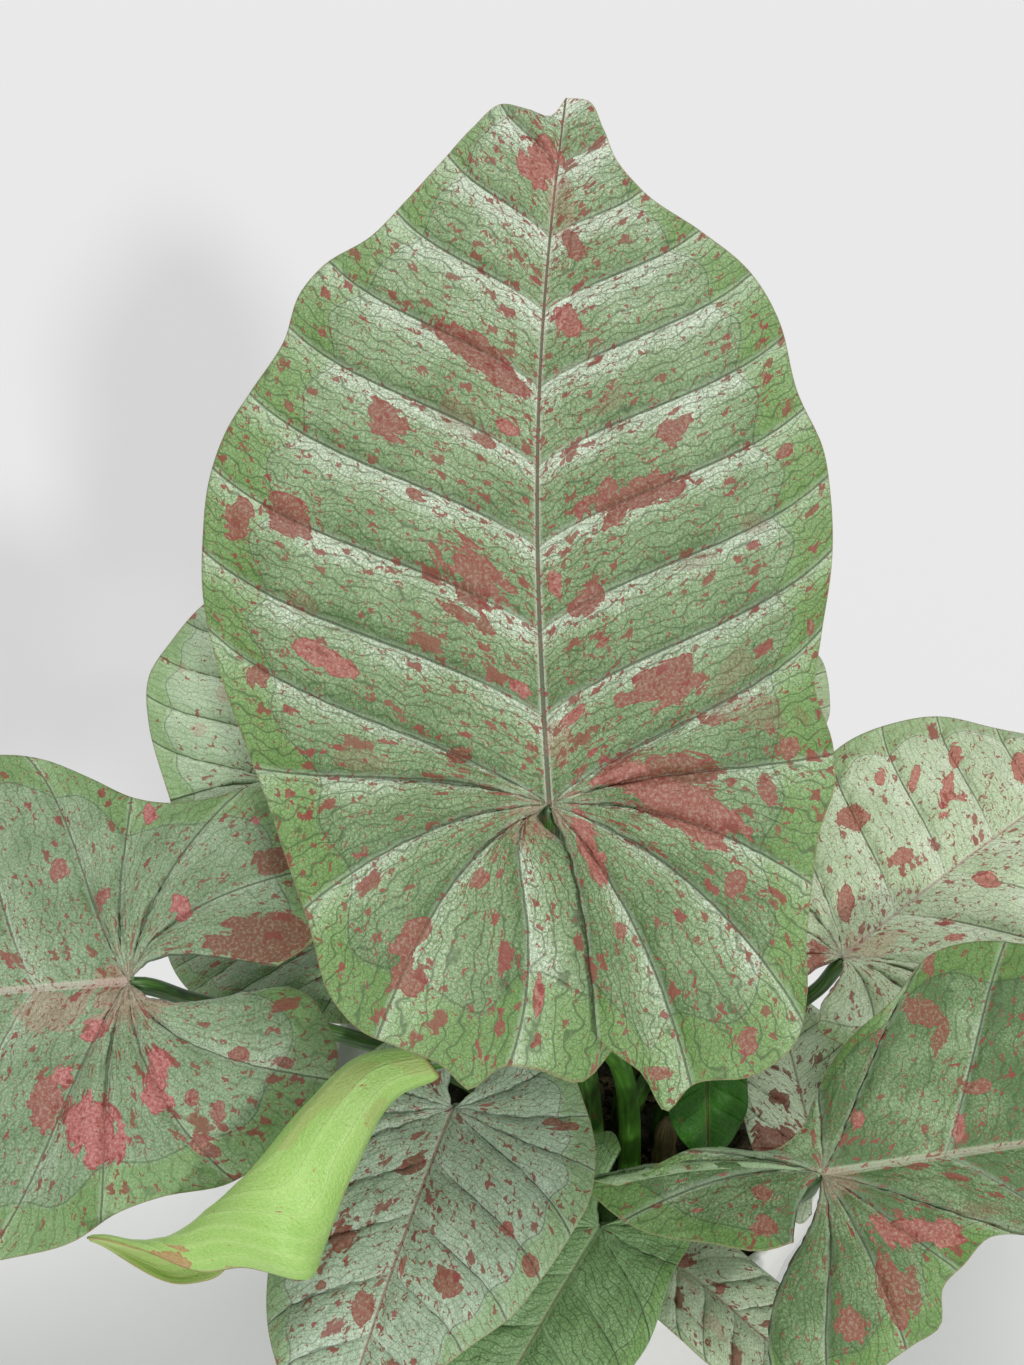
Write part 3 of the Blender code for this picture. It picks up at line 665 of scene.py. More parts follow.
class Effects:
    """The node groups that several finishes share, each made once. Places are in millimetres."""

    NET_DRIFT = (0.5, 0.9)
    COARSE_STEP = 0.42
    COARSE_LINE = (0.034, 0.010)
    FINE_LINE = (0.09, 0.025)
    FLECK_DRIFTS = ((0.9, 1.5), (2.6, 0.5))
    FLECK_LAYERS = (
        ((0.15, 0.10, 1.0), 0.42, 0.20, 0.04),
        ((0.42, 0.27, 1.0), 0.72, 0.30, 0.05),
        ((1.00, 0.70, 1.0), 0.95, 0.26, 0.08),
    )
    DOT_DRIFT = (1.5, 0.5)
    DOT_STEP = 1.05
    DOT_CHANCE = (0.45, 0.1)
    DOT_SIZE = (0.12, 0.07)
    SPLASH_DRIFTS = ((0.22, 4.0), (0.9, 1.2))
    BLOCKS, BLOCK_JUMP = (0.26, 0.17, 1.0), 0.75
    CHIPS, CHIP_JUMP = (0.75, 0.55, 1.0), 0.35
    INSIDE = (-0.015, 0.025)
    BORDER = (0.07, 0.02)
    BORDER_LEVEL = 0.03

    @classmethod
    @cache
    def net(cls) -> Tree:
        """The net of veinlets: borders of cells that a drift bends, in two sizes.

        Returns:
            A group with masks of the coarse and the fine veinlets.
        """
        w = Effect("veinlet net", ("Place",), ("Step",))
        moved = w.drift(w.given["Place"], *cls.NET_DRIFT)
        size = w.math("DIVIDE", 1.0, w.given["Step"])
        coarse, _ = w.cells(moved, w.times(size, cls.COARSE_STEP), "DISTANCE_TO_EDGE")
        fine, _ = w.cells(moved, size, "DISTANCE_TO_EDGE")
        return w.give(Coarse=w.span(coarse, *cls.COARSE_LINE), Fine=w.span(fine, *cls.FINE_LINE))

    @classmethod
    @cache
    def flecks(cls) -> Tree:
        """Small angular flecks in three sizes, drawn out along the veins, and tiny dots.

        Returns:
            A group with masks of the flecks and the dots, for a density from 0 to 1, and a value
            that says how red each fleck is.
        """
        w = Effect("flecks", ("Veined", "Place"), ("Density",))
        density, rough = w.given["Density"], w.given["Veined"]
        for scale, share in cls.FLECK_DRIFTS:
            rough = w.drift(rough, scale, share)
        fleck, tone = 0.0, 0.5
        for stretch, share, spread, least in cls.FLECK_LAYERS:
            away, chances = w.cells(w.scaled(rough, stretch), 1.0, "F1", "CHEBYCHEV")
            luck, big, red = w.parts(chances)
            size = w.line(w.math("POWER", big, 2.0), spread, least)
            body = w.span(away, size, w.times(size, 0.75))
            body = w.times(w.math("LESS_THAN", luck, w.times(density, share)), body)
            tone = w.line(body, w.math("SUBTRACT", red, 0.5), tone)
            fleck = w.most(body, fleck)
        away, chances = w.cells(w.drift(w.given["Place"], *cls.DOT_DRIFT), cls.DOT_STEP)
        luck, big, _ = w.parts(chances)
        size = w.line(big, *cls.DOT_SIZE)
        point = w.span(away, size, w.times(size, 0.6))
        rare = w.math("LESS_THAN", luck, w.line(density, *cls.DOT_CHANCE))
        return w.give(Fleck=fleck, Kind=tone, Dot=w.times(rare, point))

    @classmethod
    @cache
    def splash(cls) -> Tree:
        """The jagged outline of a splash: a soft field cut off at a level that jumps from cell to
        cell of the veins' own net, with its border and a mealy grain inside.

        Returns:
            A group with masks of the inside, its border, and its grain.
        """
        w = Effect("splash", ("Veined", "Place"), ("Field",))
        level, moved = w.given["Field"], w.given["Veined"]
        for scale, share in cls.SPLASH_DRIFTS:
            moved = w.drift(moved, scale, share)
        jumps = ((cls.BLOCKS, 0, cls.BLOCK_JUMP), (cls.CHIPS, 1, cls.CHIP_JUMP))
        for stretch, number, share in jumps:
            _, chances = w.cells(w.scaled(moved, stretch), 1.0)
            level = w.line(w.math("SUBTRACT", w.parts(chances)[number], 0.5), share, level)
        away = w.math("ABSOLUTE", w.math("SUBTRACT", level, cls.BORDER_LEVEL))
        return w.give(
            Inside=w.span(level, *cls.INSIDE),
            Border=w.span(away, *cls.BORDER),
            Grain=w.noise(w.given["Place"], 1.7, 2.0, 0.7),
        )

    @staticmethod
    @cache
    def stipple() -> Tree:
        """The mosaic of a variegated blade: broad clouds broken into small pale and green points.

        Returns:
            A group with the clouds and the points, from 0 to 1.
        """
        w = Effect("stipple", ("Place",), ())
        place = w.given["Place"]
        return w.give(Cloud=w.noise(place, 0.10, 2.0, 0.55), Point=w.noise(place, 2.2, 3.0, 0.72))


class BladeCoat(Coat):
    """A blade's material in the making, with what it reads from the mesh's corners."""

    def __init__(self, name: str) -> None:
        """Makes the material and reads the corners' values.

        Args:
            name: The material's name.
        """
        super().__init__(name)
        self.place, self.veined = self.attribute("flat"), self.attribute("veined")
        self.part = self.parts(self.veined)[2]
        self.lateral, self.midrib, self.inset = self.parts(self.attribute("nerve"))
        self.edge, _, self.ahead = self.parts(self.attribute("edge"))
        self.level, self.rosy, self.tint = self.parts(self.attribute("splash"))
        self.under = self.parts(self.attribute("face"))[0]


@dataclass(frozen=True)
class LeafFinish:
    """The looks of one blade. Colours are screen values from 0 to 255."""

    pale: tuple = (222, 234, 214)
    mid: tuple = (144, 170, 124)
    deep: tuple = (86, 118, 68)
    fresh: tuple = (116, 160, 70)
    nerve: tuple = (50, 70, 34)
    rib: tuple = (206, 204, 186)
    rose: tuple = (178, 106, 98)
    brown: tuple = (126, 86, 62)
    crimson: tuple = (142, 54, 54)
    rim: tuple = (158, 150, 110)
    under: tuple = (152, 178, 136)
    balance: float = 0.5
    flecks: float = 0.5
    net: float = 1.0
    step: float = 0.72
    # How strong the band from vein to vein is: partly the blade's pale variegation, partly painted
    # shade of its quilted relief.
    band_and_shade: float = 0.30
    cloud: float = 0.36
    rib_size: float = 0.75
    rib_line: float = 0.85
    margin: float = 0.6
    rim_width: float = 0.35
    red_rib: float = 0.5
    roughness: float = 0.46
    pale_tip: float = 0.0

    COARSE, FINE = 0.66, 0.46
    VEIN = (0.24, 0.08)
    OUTSIDE = (0.6, -1.2)
    RUNS = 7.0
    WANDER = 0.30
    LEVEL = 1.13
    BUMP = (0.7, 0.0003)
    SPECULAR = 0.42

    def build(self, name: str) -> Material:
        """Wires the material: the green mosaic, veins, flecks and splashes above, and a paler
        side below.

        Args:
            name: The material's name.

        Returns:
            The material.
        """
        w = BladeCoat(name)
        net = w.use(Effects.net(), Place=w.place, Step=self.step)
        web = w.most(w.times(net["Coarse"], self.COARSE), self._small_veins(w))
        web = w.times(w.most(web, w.times(net["Fine"], self.FINE)), self.net)
        green = self._greens(w)
        outside = w.times(w.span(w.inset, *self.OUTSIDE), self.margin)
        green = w.mix(outside, green, w.mix(0.75, green, self.fresh))
        green, veins = self._main_veins(w, w.mix(web, green, self.nerve))
        colour = self._marks(w, green, web)
        colour = w.mix(w.times(w.span(w.lateral, *self.VEIN), 0.3), colour, self.nerve)
        colour = w.mix(w.times(w.span(w.edge, self.rim_width, 0.1), 0.5), colour, self.rim)
        colour = w.mix(w.under, colour, self._underside(w, web))
        gloss = w.line(w.noise(w.place, 0.9, 1.0), 0.12, self.roughness - 0.06)
        height = w.line(veins, -0.5, w.noise(w.place, 1.4, 2.0, 0.65))
        w.shader.inputs["Specular IOR Level"].default_value = self.SPECULAR
        return w.finish(colour, gloss, height, self.BUMP)

    def _greens(self, w: BladeCoat) -> Socket:
        """The mosaic, cloudy and broken into points and paler towards the tip, over a band from each
        vein to the next. The band is darker just past the vein and paler towards the next, partly the
        blade's own pale variegation and partly painted shade of the quilted relief.

        Args:
            w: The material.

        Returns:
            The colour.
        """
        mosaic = w.use(Effects.stipple(), Place=w.place)
        # Painted shade of the quilted relief over the blade's own pale variegation: each bay is darker
        # just past its vein and paler towards the next.
        pale_band_and_shade = w.line(w.span(w.part, 0.0, 0.32), 0.5, w.span(w.part, 0.45, 1.0))
        level = w.line(pale_band_and_shade, self.band_and_shade, w.times(mosaic["Cloud"], self.cloud))
        level = w.line(mosaic["Point"], 0.85, level)
        level = w.line(w.ahead, self.pale_tip, level)
        level = w.math("SUBTRACT", level, self.LEVEL + 0.5 * self.cloud - self.balance)
        green = w.mix(w.span(level, -0.42, 0.02), self.deep, self.mid)
        return w.mix(w.span(level, -0.06, 0.36), green, self.pale)

    def _small_veins(self, w: BladeCoat) -> Socket:
        """Lines between the main veins that run with them, a few to each bay.

        Args:
            w: The material.

        Returns:
            A mask of the lines.
        """
        wander = w.times(w.noise(w.place, 0.22, 1.0), self.WANDER)
        turns = w.math("FRACT", w.times(w.math("ADD", w.part, wander), self.RUNS))
        off = w.math("ABSOLUTE", w.math("SUBTRACT", turns, 0.5))
        return w.times(w.span(off, 0.12, 0.03), 0.62)

    def _main_veins(self, w: BladeCoat, green: Socket) -> tuple[Socket, Socket]:
        """Pale borders along the veins, a dark line in each, and the rib down the middle.

        Args:
            w: The material.
            green: The colour so far.

        Returns:
            The colour, and a mask of the vein lines.
        """
        halo = w.times(w.span(w.math("MINIMUM", w.lateral, w.midrib), 1.1, 0.1), 0.22)
        colour = w.mix(halo, green, self.pale)
        slim = w.line(w.ahead, -0.6 * self.rib_size, self.rib_size)
        wide, thin = w.times(slim, 1.15), w.times(slim, 0.60)
        body = w.span(w.midrib, wide, w.times(wide, 0.4))
        rosy_rib = w.mix(w.times(w.ahead, 0.8), self.rib, self.rose)
        colour = w.mix(w.times(body, 0.55), colour, rosy_rib)
        dark = w.span(w.midrib, thin, w.times(thin, 0.5))
        colour = w.mix(w.times(dark, self.rib_line), colour, self.nerve)
        main = w.times(w.span(w.lateral, *self.VEIN), w.span(w.midrib, 1.0, 12.0))
        hoop = w.times(w.span(w.math("ABSOLUTE", w.inset), 0.20, 0.05), 0.7)
        line = w.most(main, hoop)
        return w.mix(w.times(line, 0.56), colour, self.nerve), w.most(line, dark)

    def _marks(self, w: BladeCoat, green: Socket, web: Socket) -> Socket:
        """The rosy splashes with their dark border, and the flecks, densest by the rib.

        Args:
            w: The material.
            green: The colour so far.
            web: The mask of the small veins.

        Returns:
            The colour.
        """
        splash = w.use(Effects.splash(), Veined=w.veined, Place=w.place, Field=w.level)
        grain = splash["Grain"]
        body = w.mix(w.rosy, self.brown, self.rose)
        body = w.mix(w.times(w.span(grain, 0.50, 0.64), 0.20), body, self.rib)
        body = w.mix(w.times(w.span(grain, 0.50, 0.36), 0.4), body, self.crimson)
        body = w.mix(w.times(web, 0.4), body, self.crimson)
        whole = w.times(splash["Inside"], w.line(w.tint, -0.62, 0.92))
        ring = w.times(splash["Border"], w.line(w.tint, -0.55, 0.60))
        colour = w.mix(ring, w.mix(whole, green, body), self.crimson)
        much = w.line(w.span(w.midrib, 20.0, 1.0), self.red_rib, self.flecks)
        flecks = w.use(Effects.flecks(), Veined=w.veined, Place=w.place, Density=much)
        tone = w.mix(0.30, w.mix(flecks["Kind"], self.brown, self.crimson), self.crimson)
        colour = w.mix(w.times(flecks["Fleck"], 0.85), colour, tone)
        dot = w.mix(0.5, self.nerve, self.crimson)
        return w.mix(w.times(flecks["Dot"], 0.7), colour, dot)

    def _underside(self, w: BladeCoat, web: Socket) -> Socket:
        """The side below: an even pale green, with the net faint and the veins pale.

        Args:
            w: The material.
            web: The mask of the small veins.

        Returns:
            The colour.
        """
        colour = w.mix(w.noise(w.place, 0.3, 0.0), self.under, self.mid)
        colour = w.mix(w.times(web, 0.5), colour, self.deep)
        raised = w.most(w.span(w.lateral, 0.8, 0.3), w.span(w.midrib, 1.6, 0.8))
        return w.mix(w.times(raised, 0.7), colour, self.under)


@dataclass(frozen=True)
class Splash:
    """One mark on a blade, given where the picture of 1024 by 1365 pixels shows it.

    column and row are its middle, wide and high its size, all in pixels, and lean turns it
    anticlockwise, in degrees.
    """

    hue: Hue
    column: float
    row: float
    wide: float
    high: float
    lean: float = 0.0

    FRONT = 0.4
    NEAREST = 160

    def reach(self, seen: Array, far: Array, flat: Array) -> Array:
        """How deep each place of a blade lies in the mark. The middle is the blade's point that
        shows nearest to the mark's pixel, on the layer in front where it is rolled. There the
        blade's own plane maps to the picture nearly as a plane, so the mark's ellipse is carried
        back to it by that map, fitted to the nearest points by least squares.

        Args:
            seen: Where the blade's points show, in pixels, (n, 2).
            far: How far each lies from the camera, in millimetres, (n,).
            flat: The same points in the blade's plane, in millimetres, (n, 2).

        Returns:
            One in the middle, 0 on the ellipse, and less outside, down to -1.
        """
        gap = np.linalg.norm(seen - (self.column, self.row), axis=1)
        middle = flat[np.argmin(gap + self.FRONT * far)]
        near = np.argsort(np.linalg.norm(flat - middle, axis=1))[: self.NEAREST]
        offsets = np.column_stack([flat[near] - middle, np.ones(len(near))])
        fitted = np.linalg.lstsq(offsets, seen[near], rcond=None)[0][:2]
        along, across = turned((flat - middle) @ fitted, np.radians(self.lean)).T
        return np.clip(1.0 - np.hypot(2 * along / self.wide, 2 * across / self.high), -1.0, 1.0)


def splashes(**rows: tuple) -> tuple[Splash, ...]:
    """Marks from rows of column, row, width, height and lean, under the names of their hues."""
    return tuple(Splash(Hue[hue.upper()], *row) for hue, given in rows.items() for row in given)


def marked(marks: tuple[Splash, ...], flat: Array, place: Array) -> Array:
    """The marks over a blade: the deepest one counts at each point.

    Args:
        marks: The marks.
        flat: Places in the blade's plane, (n, 2), in millimetres.
        place: The same in the world, (n, 3), in metres.

    Returns:
        How deep, how rosy and how faint, (n, 3).
    """
    found = np.zeros((len(flat), 3))
    found[:, 0] = -1.0
    seen = Picture.pixels(place)
    far = np.linalg.norm(place - Picture.PLACE, axis=1) / MM
    for mark in marks:
        here = mark.reach(seen, far, flat)
        ahead = here > found[:, 0]
        found[ahead, 0] = here[ahead]
        found[ahead, 1:] = mark.hue.value
    return found


@dataclass(frozen=True)
class LeafForm:
    """One leaf's shape: where its blade joins the petiole, how it faces, and its sizes in mm.

    heading is the way the tip points over the ground, 0 to the rear and 90 to the right. pitch
    lifts the tip above level and roll lifts the blade's right side. right and left are the
    margins, from the lobe's inner corner to the tip, as (out, along). mouth says how the edge of
    each lobe curves beside the petiole: the turn in degrees and the share of its length of the
    handle at the junction, then of the handle at the corner. fan and the counts fans and
    laterals are the plain form's, which say where its margin waves. veins counts the veins of a
    lobe's fan and the pairs off the midrib, and vein_fan is the share of each margin below them.
    """

    name: str
    junction: tuple
    heading: float
    pitch: float
    roll: float
    right: tuple
    left: tuple
    foot: tuple
    fan: tuple = (0.40, 0.40)
    mouth: tuple = ((40.0, 0.33, -12.0, 0.33), (40.0, 0.33, -12.0, 0.33))
    sweep: float = 1.0
    bend: tuple = (0.0, 0.0)
    keel: float = 0.10
    droop: float = 0.20
    arch: float = 0.12
    lobe_arch: float = 0.20
    lift: tuple = (0.0, 0.0)
    wave: tuple = (1.2, 4.0, 0.0)
    quilt: float = 0.6
    fans: int = 3
    laterals: int = 4
    veins: tuple = (3, 5)
    vein_fan: tuple = (0.48, 0.48)
    stalk: float = 1.2
    leave: float = 0.4
    arrive: tuple = ()

    @property
    def length(self) -> float:
        """Junction to tip."""
        return self.right[-1][1]

    @property
    def fan_share(self) -> float:
        """The share of s that the lobe's fan of veins takes."""
        return self.veins[0] / sum(self.veins)

    @property
    def stations(self) -> Array:
        """Where the main veins lie along s: the lobe's fan, then the pairs off the midrib.

        Returns:
            The stations, in rising order.
        """
        base = self.fan_share
        fan = np.linspace(0.0, base, self.veins[0] + 1)
        pairs = base + (1.0 - base) * np.linspace(0.0, 1.0, self.veins[1] + 1)[1:]
        return np.concatenate([fan, pairs])

    @property
    def axes(self) -> tuple[Array, Array, Array]:
        """The leaf's own directions, by its heading, pitch and roll.

        Returns:
            Right, towards the tip, and upward.
        """
        turn, lift, lean = np.radians((self.heading, self.pitch, self.roll))
        tip = np.array([np.sin(turn) * np.cos(lift), np.cos(turn) * np.cos(lift), np.sin(lift)])
        level = unit(np.cross(tip, (0.0, 0.0, 1.0)))
        right = np.cos(lean) * level + np.sin(lean) * np.cross(level, tip)
        return right, tip, np.cross(right, tip)

    def margin(self, hand: Hand) -> tuple:
        """A half's margin."""
        return (self.right, self.left)[hand.index]

    def along_margin(self, hand: Hand, s: Array) -> Array:
        """The share of a margin's length that lies below each station among its drawn veins.

        Args:
            hand: Which half.
            s: The stations.

        Returns:
            Shares from 0 to 1.
        """
        fan, base = self.vein_fan[hand.index], self.fan_share
        along = np.clip((s - base) / (1 - base), 0, 1)
        return np.where(s < base, fan * s / base, fan + (1 - fan) * along)


@dataclass
class Blade:
    """A flat blade: two halves swept out by the veins, with a skin above and one below.

    columns counts the steps from vein to vein and rows the steps along a vein.
    """

    form: LeafForm
    finish: LeafFinish
    splashes: tuple[Splash, ...] = ()
    columns: int = 9
    rows: int = 30
    seed: int = 1

    PLAIN = ("leaf_h", "leaf_k")
    FAN_LEAN = (25.0, -22.0)
    PAIR_LEAN = (7.0, 16.0)
    VEIN_HANDLE = 0.33
    COLUMN_DRAW, ROW_DRAW = 0.55, 0.4
    QUILT_FADE = (0.35, 0.75)
    CREST = 1.0 / 3.0
    PUFF = 1.7
    LOBE_CALM = (0.55, 18.0)
    WAVE_FULL = 16.0
    SIDE_PHASE = 0.25
    LIFT_FADE = 0.3
    KEEL_SOFT = 0.02
    HALF_THICK = 0.34
    RIM_THICK = 0.12
    RIM_ZONE = 1.6
    FURROW = (0.42, 0.95)
    RIB_FURROW = (0.55, 1.1)
    GROWN = (110.0, 1.5)
    VEIN_RIDGE = (0.30, 0.55)
    RIB_RIDGE = (0.85, 1.0)
    VEIN_START = (1.0, 14.0)
    RIB_SLIM, RIB_END = 0.75, 3.0
    PUCKER = ((4.6, 0.30), (1.8, 0.14))
    PUCKER_EDGE, PUCKER_RIB = 2.5, (0.5, 3.0)
    HOOP = (0.19, 0.03)
    HOOP_OFF, HOOP_START = 9.0, (8.0, 18.0)
    APART = (300.0, 40.0)
    PLANE_APART = (131.0, 57.0, 0.0)
    SOLID_APART = 31.0
    OUT_OF_REACH = 2.0

    def flat(self, hand: Hand, s: Array, v: Array) -> tuple[Array, Array]:
        """Points of the flat half: each vein is a cubic from a root on the midrib, or at the
        junction for the lobe's fan, to its end on the margin, swept towards the tip.

        Args:
            hand: Which half.
            s: Turns from the sinus, 0, to the tip, 1.
            v: Runs along a vein from its root, 0, to the margin, 1.

        Returns:
            The places as (out, along) and the veins' straight lengths, in millimetres.
        """
        form, mouth = self.form, self.form.mouth[hand.index]
        base = form.fan_share
        along = np.clip((s - base) / (1 - base), 0, 1)
        end = through(form.margin(hand), form.along_margin(hand, s))
        root = np.stack([0 * along, form.length * along], axis=-1)
        reach = end - root
        share = np.clip(s / base, 0, 1)
        to_fan, to_pair = eased(share, 0.0, 0.5), form.sweep * eased(share, 0.5, 1.0)
        handles = []
        for lean, handle, fan, pair in zip(mouth[::2], mouth[1::2], self.FAN_LEAN, self.PAIR_LEAN):
            lean = lean + (fan * form.sweep - lean) * to_fan + (pair - fan) * to_pair
            size = handle + (self.VEIN_HANDLE - handle) * to_fan
            handles.append(turned(reach, np.radians(lean)) * size[..., None])
        place = cubic(root, root + handles[0], end - handles[1], end, v[..., None])
        return place, np.linalg.norm(reach, axis=-1)

    def height(self, hand: Hand, s: Array, v: Array, part: Array, flat: Array, reach: Array) -> Array:
        """How far the blade rises off its plane: a keel at the midrib, a droop to the sides, an
        arch to the tip and the lobes, a waved margin, and a swelling from vein to vein.

        Args:
            hand: Which half.
            s, v: Where along the margin and along the vein.
            part: Share of the way from a vein to the next.
            flat: The flat places, as (out, along).
            reach: The veins' lengths.

        Returns:
            Heights in millimetres.
        """
        form, size = self.form, self.form.length
        x, y = flat[..., 0], flat[..., 1]
        soft = self.KEEL_SOFT * size
        height = form.keel * (np.sqrt(x * x + soft * soft) - soft) - form.droop * x * x / size
        height = height - np.where(y > 0, form.arch, form.lobe_arch) * y * y / size
        depth, cycles, phase = form.wave
        broad = eased(reach, 1.0, self.WAVE_FULL)
        station = self.plain_station(hand, s)
        turns = cycles * station + phase + self.SIDE_PHASE * hand.value
        height = height + broad * depth * v**3 * np.sin(CIRCLE * turns)
        lift = form.lift[hand.index] * (1 - eased(station, 0.0, self.LIFT_FADE))
        height = height + lift * np.sqrt(v)
        peak = np.sqrt(self.CREST) * (1 - self.CREST)
        swell = np.sqrt(part) * (1 - part) / peak
        inside = eased(v, 0.0, self.QUILT_FADE[0]) * (1 - eased(v, self.QUILT_FADE[1], 1.0))
        return height + broad * self.PUFF * form.quilt * swell * inside * self.calm(y)

    def calm(self, along: Array) -> Array:
        """How much relief is left at places along the leaf: all ahead of the junction, less in the
        lobes."""
        return 1 - self.LOBE_CALM[0] * eased(-along, 0.0, self.LOBE_CALM[1])

    def plain_station(self, hand: Hand, s: Array) -> Array:
        """Where the plain form's own veins would put each place of the margin.

        Args:
            hand: Which half.
            s: Stations among the drawn veins.

        Returns:
            Stations among the plain form's veins.
        """
        form, fan = self.form, self.form.fan[hand.index]
        plain = form.fans / (form.fans + form.laterals)
        margin = form.along_margin(hand, s)
        high = plain + (1 - plain) * (margin - fan) / (1 - fan)
        return np.where(margin < fan, plain * margin / fan, high)

    def half(self, hand: Hand) -> dict[str, Array]:
        """One half's grid, with everything that its points carry.

        Args:
            hand: Which half.

        Returns:
            Arrays by name, each (columns, rows) or with a last axis of its own.
        """
        form, stations = self.form, self.form.stations
        parts, v = bunched(self.columns, self.COLUMN_DRAW), bunched(self.rows, self.ROW_DRAW)
        part = np.tile(parts, len(stations) - 1)
        s = (stations[:-1, None] + np.diff(stations)[:, None] * parts).ravel()
        before, after = (np.repeat(ends, len(parts)) for ends in (stations[:-1], stations[1:]))
        s, v, part = (np.broadcast_to(a, (len(s), len(v))) for a in (s[:, None], v, part[:, None]))
        flat, reach = self.flat(hand, s, v)
        gaps = [self.gap(hand, flat, station[:, None], v) for station in (before, after)]
        x, y = flat[..., 0], flat[..., 1]
        edge = (1 - v) * reach
        inset = reach * (self.HOOP[0] + self.HOOP[1] * np.cos(CIRCLE * part))
        hoop = edge - inset + self.HOOP_OFF * (1 - eased(reach, *self.HOOP_START))
        t = np.clip(y / form.length, 0, 1)
        signed = hand.value * x
        shown = signed + form.bend[0] * np.sin(np.pi * t) + form.bend[1] * t * t
        rise = self.height(hand, s, v, part, flat, reach)
        right, tip, up = form.axes
        offset = shown[..., None] * right + y[..., None] * tip + rise[..., None] * up
        around = np.linalg.norm(np.diff(form.margin(hand), axis=0), axis=1).sum()
        across = s * around + self.APART[0] * hand.index + self.APART[1] * self.seed
        return {
            "place": (np.array(form.junction) + offset) * MM,
            "flat": np.stack([signed, y, 0 * y + self.SOLID_APART * self.seed], -1),
            "veined": np.stack([across, v * reach, part], -1),
            "nerve": np.stack([np.minimum(*gaps), np.hypot(x, np.minimum(y, 0.0)), hoop], -1),
            "edge": np.stack([edge, v, t], -1),
        }

    def gap(self, hand: Hand, flat: Array, station: Array, v: Array) -> Array:
        """Distances square to a main vein: the step to the vein's own point at the same v, less
        its share along the vein. A vein of no length lies out of reach.

        Args:
            hand: Which half.
            flat: The flat places.
            station: The vein of each column.
            v: Where along the vein.

        Returns:
            Distances in millimetres.
        """
        small = 1e-3
        station = np.broadcast_to(station, v.shape)
        here, _ = self.flat(hand, station, v)
        ahead, _ = self.flat(hand, station, v + small)
        run, step = unit(ahead - here), flat - here
        across = np.abs(step[..., 0] * run[..., 1] - step[..., 1] * run[..., 0])
        pointed = np.linalg.norm(run, axis=-1) < 0.5
        return np.where(pointed, np.linalg.norm(step, axis=-1) + self.OUT_OF_REACH, across)

    def sheet(self) -> Sheet:
        """The blade's middle surface and its skins' offsets. Above, the veins lie in furrows, and
        below they stand out, each as a bell curve of its depth and width. Both skins thin to the
        margin and share the same small puckers.

        Returns:
            The sheet, ready to be closed.
        """

        def bell(away: Array, depth: float, width: float) -> Array:
            """A depth that fades with distance as a bell curve does."""
            return depth * np.exp(-((away / width) ** 2))

        halves = [self.half(hand) for hand in Hand]
        rows, columns = halves[0]["place"].shape[:2]
        count = rows * columns
        joined = {
            key: np.concatenate([half[key].reshape(count, -1) for half in halves])
            for key in halves[0]
        }
        triangles, edges = sheet_triangles(rows, columns), sheet_edges(rows, columns, "br")
        place, flat = joined.pop("place"), joined["flat"]
        joined["splash"] = marked(self.splashes, flat[:, :2], place)
        lateral, midrib = joined["nerve"][:, 0], joined["nerve"][:, 1]
        edge, v, t = joined["edge"].T
        half = self.RIM_THICK
        half = half + (self.HALF_THICK - half) * eased(edge, 0.0, self.RIM_ZONE)
        size = min(1.0, (self.form.length / self.GROWN[0]) ** self.GROWN[1])
        away = np.hypot(flat[:, 0], flat[:, 1])
        fade = (1 - v**2) * eased(away, *self.VEIN_START) * self.calm(flat[:, 1])
        slim = (1 - self.RIB_SLIM * t) * eased(edge, 0.0, self.RIB_END)
        deep, wide = self.FURROW
        furrow = bell(lateral, deep * size, wide * size) * fade
        furrow = furrow + bell(midrib, *self.RIB_FURROW) * slim
        ridge = bell(lateral, *self.VEIN_RIDGE) * fade + bell(midrib, *self.RIB_RIDGE) * slim
        (broad, deep), (narrow, low) = self.PUCKER
        relief = deep * (pillows(joined["veined"][:, :2], broad, self.seed) - 0.5)
        relief = relief + low * (pillows(flat[:, :2], narrow, self.seed + 7) - 0.5)
        relief = relief * eased(edge, 0.0, self.PUCKER_EDGE) * eased(midrib, *self.PUCKER_RIB)
        return Sheet(
            places=place,
            triangles=np.concatenate([triangles, triangles[:, ::-1] + count]),
            edges=np.concatenate([edges, edges[:, ::-1] + count]),
            above=(half - furrow + relief) * MM,
            below=(half + ridge - relief) * MM,
            carried=joined | {"flat": flat + self.seed * np.array(self.PLANE_APART)},
            maps={"blade": flat[:, :2] * MM},
        )

    def build(self) -> None:
        """Makes and dresses the blade."""
        name = self.form.name + "_blade"
        coat = self.finish.build(name + "_finish")
        slot = "plain_leaf" if self.form.name in self.PLAIN else "leaf"
        self.sheet().skin().dress(self.form.name + "_dressed_blade", name, coat, slot)


@dataclass(frozen=True)
class StalkFinish:
    """The looks of a petiole or a crown stem. Colours are screen values from 0 to 255."""

    base: tuple = (44, 84, 22)
    streak: tuple = (92, 128, 62)
    dark: tuple = (22, 46, 12)
    speck: tuple = (108, 62, 48)
    specks: float = 0.25
    roughness: float = 0.40

    BUMP = (0.35, 0.00012)

    def build(self, name: str) -> Material:
        """Wires the material: long fine streaks with the grain, darker clouds, and specks.

        Args:
            name: The material's name.

        Returns:
            The material.
        """
        w = Coat(name)
        place = w.attribute("flat")
        fibre = w.noise(w.scaled(place, (2.2, 0.10, 1.0)), 1.0, 4.0, 0.65)
        cloud = w.noise(w.scaled(place, (0.3, 0.12, 1.0)), 1.0, 3.0)
        colour = w.mix(w.span(fibre, 0.42, 0.72), self.base, self.streak)
        colour = w.mix(w.times(w.span(cloud, 0.5, 0.72), 0.7), colour, self.dark)
        veined = w.scaled(place, (1.6, 1.0, 1.0))
        marks = w.use(Effects.flecks(), Veined=veined, Place=place, Density=self.specks)
        colour = w.mix(w.times(marks["Fleck"], 0.6), colour, self.speck)
        gloss = w.line(cloud, 0.15, self.roughness - 0.07)
        return w.finish(colour, gloss, fibre, self.BUMP)


